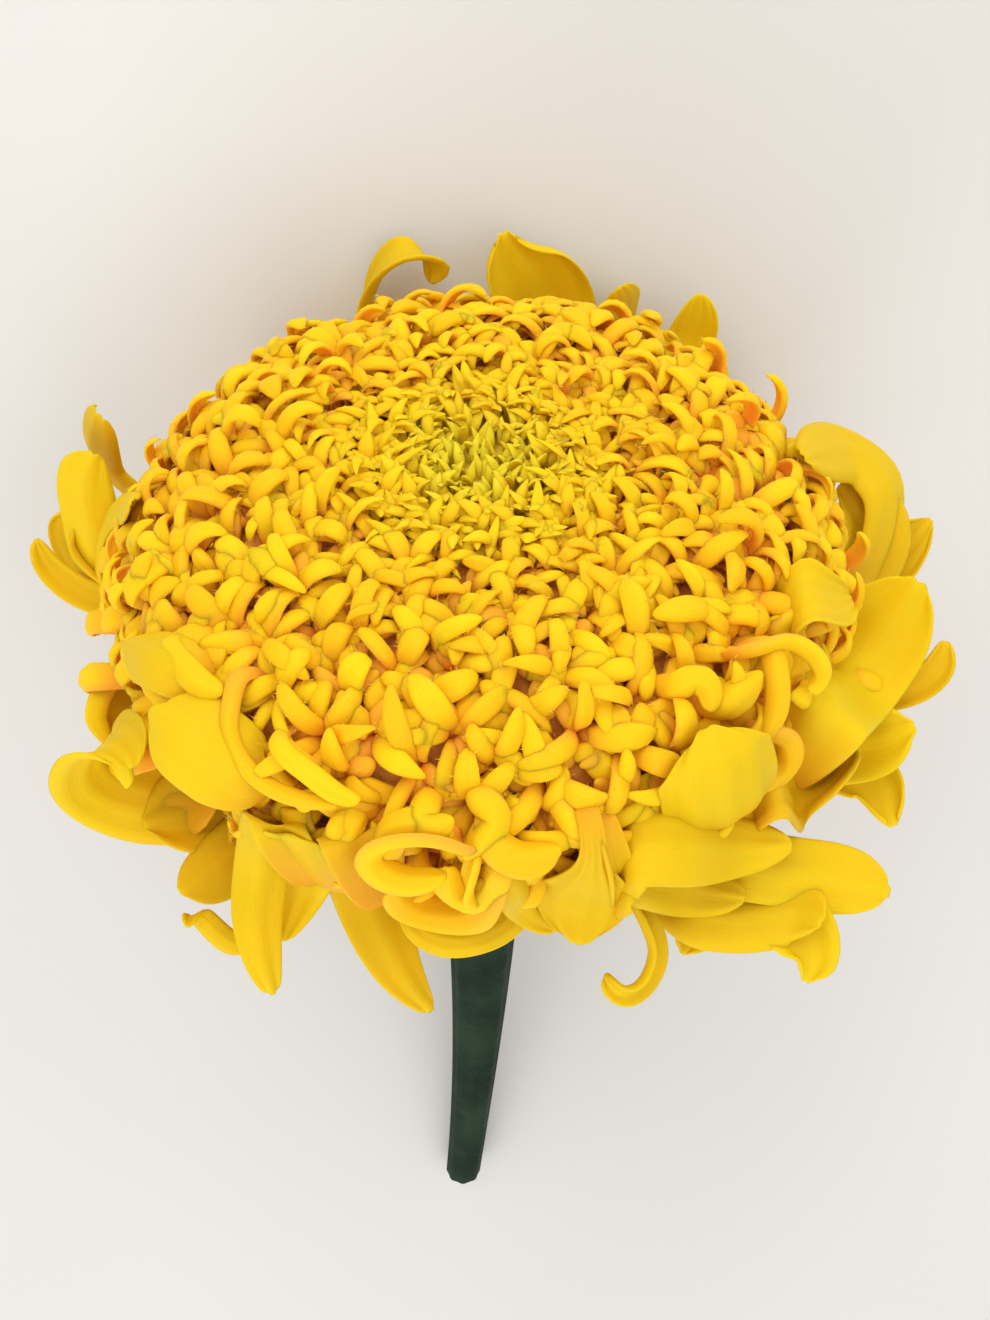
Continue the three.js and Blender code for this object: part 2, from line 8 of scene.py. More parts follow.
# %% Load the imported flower
import math
import random

import bmesh
import bpy
from mathutils import Matrix, Vector


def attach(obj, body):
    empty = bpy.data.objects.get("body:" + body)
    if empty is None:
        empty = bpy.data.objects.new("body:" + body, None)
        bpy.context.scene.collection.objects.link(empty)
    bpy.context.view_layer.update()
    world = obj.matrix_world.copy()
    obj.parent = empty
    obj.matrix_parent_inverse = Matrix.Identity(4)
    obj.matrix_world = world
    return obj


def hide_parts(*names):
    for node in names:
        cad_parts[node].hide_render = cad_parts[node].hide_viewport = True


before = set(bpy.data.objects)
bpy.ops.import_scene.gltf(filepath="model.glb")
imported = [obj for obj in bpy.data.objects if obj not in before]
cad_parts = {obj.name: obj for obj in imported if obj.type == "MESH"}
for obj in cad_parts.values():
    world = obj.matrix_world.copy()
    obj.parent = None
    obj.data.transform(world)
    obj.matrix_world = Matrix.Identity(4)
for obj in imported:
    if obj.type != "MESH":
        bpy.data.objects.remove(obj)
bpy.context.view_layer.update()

print("solids in the frame:", sorted(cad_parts))

# %% [markdown]
# ## The flower's own frame
# A flower is easier to model upright, with its axis along z, than lying down. So every piece is made
# in millimetres round that axis, with z = 0 where the dome is widest. One matrix then lays it on its
# side and turns it into metres. Azimuth 270 is the side that ends up facing the ceiling.

# %% Lay it down
LIE_TILT = math.radians(24)
DOME_MIDDLE = Vector((0.000496, -0.041475, 0.0448))
MILLIMETRE = 0.001

TILT_COS = math.cos(LIE_TILT)
TILT_SIN = math.sin(LIE_TILT)
LAID = Matrix(((-1, 0, 0), (0, -TILT_SIN, -TILT_COS), (0, -TILT_COS, TILT_SIN))).to_4x4()
LAY_DOWN = Matrix.Translation(DOME_MIDDLE) @ LAID @ Matrix.Scale(MILLIMETRE, 4)
STAND_UP = LAY_DOWN.inverted()
TO_CEILING = (STAND_UP.to_3x3() @ Vector((0, 0, 1))).normalized()


def height_above_table(point):
    """Millimetres between a point of the upright flower and the table that it will lie on."""
    return DOME_MIDDLE.z / MILLIMETRE + TO_CEILING.dot(point)


print("the top of the dome points", [round(x, 2) for x in LAID.to_3x3() @ Vector((0, 0, 1))])

# %% [markdown]
# ## The camera
# The photograph looks across the head from the side that faces up here, about 47 degrees above the
# rim, from close by. With the flower laid down, that view comes from above, with the stem towards the
# bottom of the picture. A close camera and a normal lens give the strong perspective of the near lobes.

# %% Camera
CAMERA_AT = Vector((-0.0010, -0.1200, 0.2505))
LOOK_DOWN = math.radians(67)
LENS = 55.5

camera_data = bpy.data.cameras.new("camera")
camera_data.lens = LENS
camera_data.clip_start = 0.01
camera = bpy.data.objects.new("camera", camera_data)
bpy.context.scene.collection.objects.link(camera)
ahead = Vector((0, math.cos(LOOK_DOWN), -math.sin(LOOK_DOWN)))
upward = Vector((0, -math.sin(LOOK_DOWN), -math.cos(LOOK_DOWN)))
camera_turn = Matrix((ahead.cross(upward), upward, -ahead)).transposed()
camera.matrix_world = Matrix.Translation(CAMERA_AT) @ camera_turn.to_4x4()
bpy.context.scene.camera = camera
print("camera", round((CAMERA_AT - DOME_MIDDLE).length, 3), "m from the middle of the dome")

# %% [markdown]
# ## Light
# The photograph was taken in soft daylight, which fills even the gaps between the lobes. A bright
# even sky does most of that here. Four large panels add direction, from the front, from above, from
# behind, and low in front of the part of the dome that faces the table. A sun lamp would give harder
# shadows than the photograph has. Plain colour management keeps a strong yellow pure.

# %% Light
SKY_COLOUR = (1.0, 0.94, 0.86, 1)
SKY_STRENGTH = 0.80


def add_panel(name, at, size, watts, colour):
    """A square light that faces the flower."""
    data = bpy.data.lights.new(name, "AREA")
    data.size = size
    data.energy = watts
    data.color = colour
    lamp = bpy.data.objects.new(name, data)
    lamp.location = at
    lamp.rotation_euler = (DOME_MIDDLE - Vector(at)).to_track_quat("-Z", "Y").to_euler()
    bpy.context.scene.collection.objects.link(lamp)
    print(name, watts, "W, at", at)


add_panel("main_light", (0.18, -0.62, 0.55), 0.45, 1.6, (1.0, 0.98, 0.94))
add_panel("top_light", (-0.25, -0.05, 0.75), 0.60, 1.4, (0.98, 0.99, 1.0))
add_panel("back_light", (0.35, 0.55, 0.45), 0.60, 2.2, (1.0, 1.0, 1.0))
add_panel("low_light", (-0.15, -0.72, 0.12), 0.40, 1.3, (1.0, 0.98, 0.95))

world = bpy.data.worlds.new("studio")
world.use_nodes = True
world.node_tree.nodes["Background"].inputs["Color"].default_value = SKY_COLOUR
world.node_tree.nodes["Background"].inputs["Strength"].default_value = SKY_STRENGTH
bpy.context.scene.world = world
bpy.context.scene.view_settings.view_transform = "Standard"

# %% [markdown]
# ## Helpers for materials
# Every finish here is a small graph of nodes. Petals need three things: a colour that changes from
# root to tip, which also carries painted shade, a shift from one petal to the next, and faint lines
# that run along the petal. The meshes carry these as attributes, named along, tone and youth, so a
# material only has to read them.
# The other finishes are plainer: two colours that drift into each other, and at most a fine relief.

# %% Helpers for materials
def new_material(name):
    """A new material, with its graph of nodes and its surface shader."""
    material = bpy.data.materials.new(name)
    material.use_nodes = True
    tree = material.node_tree
    return material, tree, tree.nodes["Principled BSDF"]


def add_node(tree, kind, inputs=(), **settings):
    """A node with its settings, and with values or links for its inputs."""
    made = tree.nodes.new(kind)
    for key, value in settings.items():
        setattr(made, key, value)
    for key, value in dict(inputs).items():
        if isinstance(value, bpy.types.NodeSocket):
            tree.links.new(value, made.inputs[key])
        else:
            made.inputs[key].default_value = value
    return made


def attribute(tree, name):
    """A value that the mesh carries on its verts."""
    return add_node(tree, "ShaderNodeAttribute", attribute_name=name).outputs["Fac"]


def noise(tree, scale, detail=2.0, vector=None):
    """Cloudy values round 0.5. The scale counts features in a metre."""
    place = vector or add_node(tree, "ShaderNodeTexCoord").outputs["Object"]
    inputs = {"Vector": place, "Scale": scale, "Detail": detail}
    return add_node(tree, "ShaderNodeTexNoise", inputs).outputs["Fac"]


def ramp(tree, value, stops):
    """A colour for each value, from (position, colour) pairs."""
    made = add_node(tree, "ShaderNodeValToRGB", {"Fac": value})
    elements = made.color_ramp.elements
    made.color_ramp.interpolation = "EASE"
    while len(elements) < len(stops):
        elements.new(0.5)
    for element, (position, colour) in zip(elements, stops):
        element.position = position
        element.color = (*colour, 1)
    return made.outputs["Color"]


def blended(tree, share, first, second):
    """Two colours mixed."""
    made = tree.nodes.new("ShaderNodeMix")
    made.data_type = "RGBA"
    for socket, value in ((made.inputs[0], share), (made.inputs[6], first), (made.inputs[7], second)):
        if isinstance(value, bpy.types.NodeSocket):
            tree.links.new(value, socket)
        else:
            socket.default_value = value if isinstance(value, (int, float)) else (*value, 1)
    return made.outputs[2]


def fitted(tree, value, low, high):
    """A value from 0 to 1 brought into another range."""
    inputs = {"Value": value, "To Min": low, "To Max": high}
    return add_node(tree, "ShaderNodeMapRange", inputs).outputs["Result"]


def add_bump(tree, shader, height, distance, strength=1.0):
    """Fine relief in the shading, from a value. The distance is in metres."""
    inputs = {"Height": height, "Distance": distance, "Strength": strength}
    tree.links.new(add_node(tree, "ShaderNodeBump", inputs).outputs["Normal"], shader.inputs["Normal"])


def clouds(tree, first, second, scale, detail=2.0):
    """Two colours that drift into each other."""
    return ramp(tree, noise(tree, scale, detail), [(0.3, first), (0.7, second)])


def dull_material(name, first, second, scale, roughness, detail=2.0, relief=None):
    """A plain finish of two drifting colours. A relief is given as its scale and its distance."""
    material, tree, shader = new_material(name)
    tree.links.new(clouds(tree, first, second, scale, detail), shader.inputs["Base Color"])
    shader.inputs["Roughness"].default_value = roughness
    if relief:
        add_bump(tree, shader, noise(tree, relief[0]), relief[1])
    print(name, len(tree.nodes), "nodes")
    return material


# %% [markdown]
# ## The table
# The flower lies on a plain pale table. A single large face is enough. It lies a hair's breadth below
# the flower, so that the two never flicker where they meet. Its colour is a very faint cloud.

# %% The table
FLOOR_SIZE = 3.0
FLOOR_BELOW = 0.0003

floor_material = dull_material("pale_table", (0.64, 0.65, 0.66), (0.69, 0.70, 0.71), 6.0, 0.75)
bm = bmesh.new()
bmesh.ops.create_grid(bm, x_segments=1, y_segments=1, size=FLOOR_SIZE / 2)
bmesh.ops.translate(bm, verts=bm.verts, vec=(0, 0, -FLOOR_BELOW))
floor_mesh = bpy.data.meshes.new("floor")
bm.to_mesh(floor_mesh)
bm.free()
floor_mesh.materials.append(floor_material)
floor = bpy.data.objects.new("floor", floor_mesh)
bpy.context.scene.collection.objects.link(floor)
print("floor", FLOOR_SIZE, "m wide")

# %% [markdown]
# ## Yellow petals
# A marigold petal is thin, soft and a little see-through. Light enters it and comes out warmer, and
# light that bounces from petal to petal loses its green part first. That is why the gaps between the
# lobes glow orange. The shader does most of this by itself, from a strong yellow with some light
# let through. The root of each petal is also more orange, partly its own colour and partly painted
# shade for the deep gaps, and the shaded undersides of the lobes get the same orange as painted shade.
# Each lobe is a little different. Soft orange patches and fine lines along the petal break up what is
# left. A painted picture could do the same, but nodes that read the mesh's attributes fit petals of
# any shape.

# %% Yellow petals
WARM_PATCH = (0.93, 0.52, 0.006)
WARM_LINE = (0.88, 0.45, 0.005)
LIGHT_SPREAD = (1.0, 0.88, 0.15)
LIGHT_DEPTH = 0.0013


def petal_material(name, full_colours, young_colour, root_shade_colour, line_count, let_through):
    """Satin yellow, orange at the root partly as painted shade. Where youth is 1 the petal is still green.
    """
    material, tree, shader = new_material(name)
    along = attribute(tree, "along")
    full = blended(tree, attribute(tree, "tone"), *full_colours)
    mottled = blended(tree, fitted(tree, noise(tree, 260.0, 3.0), 0.0, 0.55), full, WARM_PATCH)
    aged = blended(tree, attribute(tree, "youth"), mottled, young_colour)
    # Painted shade: towards the root, and wherever along is lowered, the colour turns to the root's orange.
    with_root_shade = blended(tree, ramp(tree, along, [(0.06, (1, 1, 1)), (0.55, (0, 0, 0))]), aged, root_shade_colour)
    lengthwise = add_node(tree, "ShaderNodeUVMap", uv_map="petal").outputs["UV"]
    stretch = {"Vector": lengthwise, "Scale": (line_count, 1.2, 1)}
    stretched = add_node(tree, "ShaderNodeMapping", stretch).outputs["Vector"]
    veins = noise(tree, 1.0, 2.0, stretched)
    veined = blended(tree, fitted(tree, veins, -0.15, 0.30), with_root_shade, WARM_LINE)
    tree.links.new(veined, shader.inputs["Base Color"])
    tree.links.new(fitted(tree, noise(tree, 500.0), 0.42, 0.62), shader.inputs["Roughness"])
    shader.inputs["Subsurface Weight"].default_value = let_through
    shader.inputs["Subsurface Radius"].default_value = LIGHT_SPREAD
    shader.inputs["Subsurface Scale"].default_value = LIGHT_DEPTH
    shader.inputs["Specular IOR Level"].default_value = 0.08
    add_bump(tree, shader, veins, 0.0002, 0.35)
    print(name, len(tree.nodes), "nodes")
    return material


LOBE_YELLOWS = ((0.89, 0.52, 0.012), (0.93, 0.67, 0.012))
# The broad petals' yellow is darker than the lobes', partly as painted shade for petals that lie under the
# dome's rim.
PETAL_YELLOWS = ((0.64, 0.46, 0.012), (0.73, 0.59, 0.012))
disc_petal = petal_material("disc_petal", LOBE_YELLOWS, (0.86, 0.64, 0.012), (0.96, 0.38, 0.045), 5.0, 0.5)
ray_petal = petal_material("ray_petal", PETAL_YELLOWS, (0.66, 0.57, 0.03), (0.80, 0.34, 0.020), 9.0, 0.3)

# %% [markdown]
# ## Greenish middle
# The unopened florets in the middle are olive yellow, and duller. They use the same recipe as the
# others, with a greener young colour and a root, and so a painted shade, that is ochre instead of orange.

# %% Greenish middle
young_petal = petal_material("young_petal", LOBE_YELLOWS, (0.82, 0.68, 0.03), (0.74, 0.48, 0.02), 5.0, 0.4)

# %% [markdown]
# ## Finishing a piece
# A piece is done the same way each time. Its faces are turned outwards and its mesh is laid down into
# metres. It is named and coloured, and the plain solid it stands for is hidden. Where a piece is
# rounded, a Subdivision Surface does that at the end, so that the shaping works on few verts. A few
# small helpers for places round the axis follow, because most pieces need them.

# %% Finishing a piece
def finish_piece(name, bm, node, material, rounded=0, closed=True):
    """Lays a bmesh down, makes its object and puts it in the place of a node of the frame."""
    if closed:
        bmesh.ops.recalc_face_normals(bm, faces=bm.faces)
    bm.transform(LAY_DOWN)
    for face in bm.faces:
        face.smooth = True
    mesh = bpy.data.meshes.new(name)
    bm.to_mesh(mesh)
    bm.free()
    mesh.materials.append(material)
    piece = bpy.data.objects.new(name, mesh)
    bpy.context.scene.collection.objects.link(piece)
    if rounded:
        add_rounding(piece, rounded)
    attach(piece, "root")
    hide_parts(node)
    print(name, len(mesh.polygons), "faces before rounding")
    return piece


def add_rounding(piece, levels):
    """A Subdivision Surface that is the same in the view and in the render."""
    rounding = piece.modifiers.new("rounding", "SUBSURF")
    rounding.levels = levels
    rounding.render_levels = levels


def around(azimuth, radius, level):
    """A point from its angle round the axis, its radius and its level."""
    return Vector((radius * math.cos(azimuth), radius * math.sin(azimuth), level))


def smooth(low, high, value):
    """Goes softly from 0 at low to 1 at high."""
    share = min(1, max(0, (value - low) / (high - low)))
    return share * share * (3 - 2 * share)


def mix(first, second, share):
    """The value that lies a share of the way from the first to the second."""
    return first + (second - first) * share


def turned(profile, steps):
    """A closed solid turned about the flower's axis, from (radius, level) pairs."""
    bm = bmesh.new()
    line = [bm.verts.new((radius, 0, level)) for radius, level in profile]
    edges = [bm.edges.new(pair) for pair in zip(line, line[1:])]
    bmesh.ops.spin(bm, geom=line + edges, cent=(0, 0, 0), axis=(0, 0, 1), angle=math.tau,
                   steps=steps, use_merge=True)
    bmesh.ops.remove_doubles(bm, verts=bm.verts, dist=1e-4)
    return bm


# %% [markdown]
# ## The dome
# The head is a low dome with broad shoulders. One curve gives it: an ellipse raised to a power, so
# that it stays fuller at the shoulder. Florets stand on an inner copy of this curve and their tips
# reach the outer one.

# %% The dome
DOME_RADIUS = 40
DOME_RISE = 20.6
DOME_DROP = 12.5
DOME_POWER = 2.7
DOME_FOOT = -8.6
DOME_END = math.radians(122)
FLORET_DEPTH = 6.2


def dome_curve(angle, inset):
    """(radius, level) on the dome, from the top at angle 0 to the rim at 90 degrees and below."""
    side = abs(math.sin(angle)) ** (2 / DOME_POWER)
    up = math.copysign(abs(math.cos(angle)) ** (2 / DOME_POWER), math.cos(angle))
    height = DOME_RISE if up > 0 else DOME_DROP
    return side * (DOME_RADIUS - inset), up * (height - inset)


def dome_spot(angle, azimuth, inset):
    """A place on the dome with its directions: out of it, down it and round it."""
    radius, level = dome_curve(angle, inset)
    next_radius, next_level = dome_curve(angle + 0.02, inset)
    slope = Vector((next_radius - radius, next_level - level)).normalized()
    out_of = around(azimuth, -slope.y, slope.x)
    down = around(azimuth, slope.x, slope.y)
    return around(azimuth, radius, level), out_of, down, around(azimuth + math.pi / 2, 1, 0)


print("dome", 2 * DOME_RADIUS, "mm wide and", DOME_RISE + DOME_DROP, "mm high")

# %% [markdown]
# ## Inside of the dome
# Between the lobes the eye falls on the crowded tubes of the florets, orange in the shade. Hundreds
# of tubes that hardly show would cost many faces. So a turned body stands for them, just below the
# lobes, with its verts pushed in and out a little and a fine relief.

# %% Inside of the dome
CORE_LIFT = 1.4
CORE_END = math.radians(110)
CORE_STEPS = 24
CORE_ROUGHNESS = 0.35

# Partly painted shade: the tubes' colour is pushed to the deep red-orange that the gaps between the lobes
# show in shade.
tubes_gap_shade_material = dull_material("floret_tubes", (0.94, 0.36, 0.05), (0.98, 0.50, 0.06), 700.0, 0.8,
                               relief=(900.0, 0.0008))

core_angles = [step / CORE_STEPS * CORE_END for step in range(CORE_STEPS + 1)]
core_profile = [dome_curve(angle, FLORET_DEPTH - CORE_LIFT) for angle in core_angles]
core_profile += [(33, DOME_FOOT - 1), (12, -17.5), (0, -18.5)]
core = turned(core_profile, 96)
core_noise = random.Random(3)
for vert in core.verts:
    vert.co += vert.co.normalized() * core_noise.uniform(-CORE_ROUGHNESS, CORE_ROUGHNESS)
finish_piece("dome_inside", core, "disc_florets", tubes_gap_shade_material)

# %% [markdown]
# ## Blanks for the lobes
# A disc floret is a thin tube that opens into a star of a few lobes. In this flower the lobes are fat
# and curled back, with their edges rolled under, like cashew nuts. A lobe could be a bent sheet with
# thickness, but at this size a closed tube with a hollow underside is rounder and lighter. The tube
# is made once: a cone of equal ends, cut into rings. There are thousands of lobes, so it has few faces,
# and the lobes in the shade and the unopened florets start from a still plainer one.

# %% Blanks for the lobes
LOBE_SIDES = 8
LOBE_RINGS = 6
PLAIN_SIDES = 6
PLAIN_RINGS = 5


def add_tube(bm, sides, rings, middle):
    """A closed upright tube, 1 high and 1 in radius, cut into rings, with its middle at a level."""
    bmesh.ops.create_cone(bm, cap_ends=True, segments=sides, radius1=1, radius2=1, depth=1,
                          matrix=Matrix.Translation((0, 0, middle)))
    upright = [edge for edge in bm.edges if abs(edge.verts[0].co.z - edge.verts[1].co.z) > 0.5]
    bmesh.ops.subdivide_edges(bm, edges=upright, cuts=rings - 1, use_grid_fill=True)


def tube_blank(name, sides, rings):
    """The mesh of a tube that lobes are bent from, with its foot at z = 0."""
    bm = bmesh.new()
    add_tube(bm, sides, rings, 0.5)
    mesh = bpy.data.meshes.new(name)
    bm.to_mesh(mesh)
    bm.free()
    print(name, len(mesh.polygons), "faces")
    return mesh


lobe_blank = tube_blank("lobe_blank", LOBE_SIDES, LOBE_RINGS)
plain_blank = tube_blank("plain_blank", PLAIN_SIDES, PLAIN_RINGS)

# %% [markdown]
# ## What a petal's mesh carries
# The petal materials read three values from the verts: how far along the petal a vert is, the tone of
# the petal, and how young it is. On undersides and on lobes in the shade the first is lowered, so that
# these take the orange of the root as painted shade. They are written while a new copy is still
# straight, because then a vert's own z is its place along the petal. A UV map in the same directions
# carries the fine lines.

# %% What a petal's mesh carries
PETAL_VALUES = ("along", "tone", "youth")
# How much the undersides of the lobes are painted as shade, with the orange of the root.
UNDERSIDE_SHADE = 0.6


def petal_bmesh():
    """An empty bmesh with the layers that the petal materials read."""
    bm = bmesh.new()
    for name in PETAL_VALUES:
        bm.verts.layers.float.new(name)
    bm.loops.layers.uv.new("petal")
    return bm


def copy_in(bm, blank):
    """Adds a copy of a blank, and returns its new verts."""
    first = len(bm.verts)
    bm.from_mesh(blank)
    bm.verts.ensure_lookup_table()
    return bm.verts[first:]


def paint(bm, verts, tone, youth, length, sunk=0.0):
    """Writes the petal attributes of new verts, whose z still runs from 0 at the root to 1.

    A vert with a low y is on the underside, which lies in shade, so it gets painted shade: it is
    coloured as if it were nearer to the orange root. A sunk share paints a whole copy the same way, as
    painted shade for lobes that lie in the shade of others.
    """
    layers = bm.verts.layers.float
    uv = bm.loops.layers.uv["petal"]
    faces = {face for vert in verts for face in vert.link_faces}
    for vert in verts:
        under = smooth(0.8, -0.6, vert.co.y)
        vert[layers["along"]] = vert.co.z * (1 - UNDERSIDE_SHADE * under) * (1 - sunk)
        vert[layers["tone"]] = tone
        vert[layers["youth"]] = youth
    for face in faces:
        for loop in face.loops:
            loop[uv].uv = (loop.vert.co.x, loop.vert.co.z * length)


print("values on each vert:", *PETAL_VALUES)

# %% [markdown]
# ## Bending a lobe
# A real lobe goes up, leans out and rolls back on itself. Its path is walked in equal steps, each with
# its own lean, which gives a hook that stays smooth however far it curls. Each ring of the blank is
# then set on its step, sized, hollowed and twisted.

# %% Bending a lobe
END_FROM = 0.62
FOOT_GIRTH = 0.55
FLATNESS = 0.78
LUMPS = 0.10
UNDERSIDE_GIRTH = 0.75
HOLLOW = 0.95


def hook_path(foot, neck, length, spread, curl, rings):
    """Places along a lobe as (reach, height, lean): up the neck from its foot, over, and back down."""
    path = []
    reach, height = foot, 0.0
    step = (neck + length) / rings
    for ring in range(rings + 1):
        along = ring / rings
        rolled = max(0, (along - 0.45) / 0.55) ** 1.3
        lean = spread * smooth(0.08, 0.48, along) + (curl - spread) * rolled
        path.append((reach, height, lean))
        reach += step * math.sin(lean)
        height += step * math.cos(lean)
    return path


def hollowed(over, groove):
    """Sinks the back of a lobe into a groove and its belly into a hollow."""
    if over > 0:
        return over - groove if over > 0.9 else over
    return over * UNDERSIDE_GIRTH + (HOLLOW if over < -0.9 else 0)


def bend_lobe(verts, spot, out, path, girth, sway, twist, point, groove=0.0):
    """Bends the verts of a blank along a hook, and returns the places and directions of its edge."""
    root, out_of = spot
    side = out_of.cross(out)
    rings = len(path) - 1
    edge = []
    for vert in verts:
        across, over, along = vert.co
        reach, height, lean = path[round(along * rings)]
        ending = max(0, (along - END_FROM) / (1 - END_FROM))
        rounded = math.sqrt(max(0, 1 - 0.93 * ending * ending))
        pointed = 1 - 0.9 * ending
        half = girth * mix(FOOT_GIRTH, 1, smooth(0.1, 0.55, along)) * mix(rounded, pointed, point)
        half *= 1 + LUMPS * math.sin(9 * along + 5 * twist)
        on_edge = along > 0.4 and abs(over) < 0.1
        over = hollowed(over, groove)
        turn = twist * along
        across, over = (across * math.cos(turn) - over * math.sin(turn),
                        across * math.sin(turn) + over * math.cos(turn))
        from_middle = side * (across * half)
        from_middle += (out_of * math.sin(lean) - out * math.cos(lean)) * (over * half * FLATNESS)
        vert.co = root + out_of * height + out * reach + side * (sway * along * along) + from_middle
        if on_edge:
            edge.append((vert.co.copy(), from_middle.normalized()))
    return edge


sample_path = hook_path(0.8, 2.1, 7.7, math.radians(65), math.radians(210), LOBE_RINGS)
print("a lobe reaches out", round(max(reach for reach, _, _ in sample_path), 1), "mm")

# %% [markdown]
# ## Hairs
# The edge of a lobe has a fringe of short stiff hairs. Each is a cone with three sides. A particle
# system could grow them, but it would put them all over the lobe, and they stand only on its edge.

# %% Hairs
HAIRS_PER_STEP = 2
HAIR_RADIUS = 0.045
HAIR_LENGTH = 0.9
HAIR_SPREAD = 0.35


def add_hairs(tuft, edge, out_of, rng):
    """Short stiff hairs that stand out from the edge of a lobe."""
    for place, away in edge:
        for _ in range(HAIRS_PER_STEP):
            lean = Vector([rng.uniform(-0.5, 0.5) for _ in range(3)])
            pointing = (away + lean - out_of * 0.3).normalized()
            beside = Vector([rng.uniform(-HAIR_SPREAD, HAIR_SPREAD) for _ in range(3)])
            foot = place + beside - away * 0.1
            matrix = Matrix.Translation(foot) @ pointing.to_track_quat("Z", "Y").to_matrix().to_4x4()
            bmesh.ops.create_cone(tuft, cap_ends=True, segments=3, radius1=HAIR_RADIUS, radius2=0,
                                  depth=HAIR_LENGTH * rng.uniform(0.7, 1.2), matrix=matrix)


print("hairs of", HAIR_LENGTH, "mm, in tufts of", HAIRS_PER_STEP)

# %% [markdown]
# ## Where the florets stand
# Florets open from the rim inwards and are packed in spirals, each a golden angle on from the last.
# The ones near the middle are younger and smaller. So the dome's area is shared out by size: small
# florets get little room each, and large ones get more.

# %% Where the florets stand
GOLDEN_ANGLE = math.radians(137.508)
DISC_COUNT = 400
YOUNG_RADIUS = 12
YOUNG_OVERLAP = 2.5
FINE_ANGLES = 3000


def floret_size(radius, level):
    """How large a floret is, compared with the ones on the shoulder."""
    return mix(0.60, 1.0, smooth(9, 30, radius)) * mix(1.0, 1.12, 1 - smooth(-8, 2, level))


def floret_angles(count):
    """Angles down the dome that give every floret room for its size."""
    previous = dome_curve(0, FLORET_DEPTH)
    shares = []
    total = 0
    for step in range(1, FINE_ANGLES + 1):
        angle = step / FINE_ANGLES * DOME_END
        radius, level = dome_curve(angle, FLORET_DEPTH)
        if radius > YOUNG_RADIUS - YOUNG_OVERLAP:
            total += math.dist((radius, level), previous) * radius / floret_size(radius, level) ** 2
        previous = (radius, level)
        shares.append((total, angle))
    wanted = [(i + 0.5) / count * total for i in range(count)]
    return [next(angle for share, angle in shares if share >= want) for want in wanted]


disc_angles = floret_angles(DISC_COUNT)
print("florets stand from", round(math.degrees(disc_angles[0])), "to",
      round(math.degrees(disc_angles[-1])), "degrees down the dome")

# %% [markdown]
# ## Disc florets
# Each floret is a star of three to five lobes round its tube. The lobes differ in reach, girth, curl
# and twist, so that no two florets look alike. The young ones near the middle are greener, more
# upright and pointed, and the low ones hang down over the rim. Under each star a few plain lobes fill
# the shade, and they are painted a deeper orange as painted shade. One mesh with all the florets would
# be too large, so they go into six pieces, as rings.

# %% Disc florets
LOBE_COUNTS = (3, 4, 4, 5)
LOBE_NECK = 2.1
LOBE_REACH = (6.0, 9.4)
LOBE_SPREAD = (40, 90)
LOBE_CURL = (145, 275)
LOBE_GIRTH = (1.0, 1.7)
LOBE_POINTS = (0.0, 0.0, 0.15, 0.6)
YOUNG_POINT = 0.9
LOW_LOBES = 3
LOW_REACH = (4.0, 5.2)
LOW_SPREAD = (60, 85)
LOW_CURL = (95, 150)
LOW_GIRTH = (1.2, 1.8)
# How much the low lobes are painted as shade, with the orange of the root.
LOW_SHADE = 0.6
DISC_PIECES = 6
FLORET_LEAN = 0.16
FLORET_SAG = 0.10
GROWN_UP = 0.3
HAIRY_SHARE = 0.6


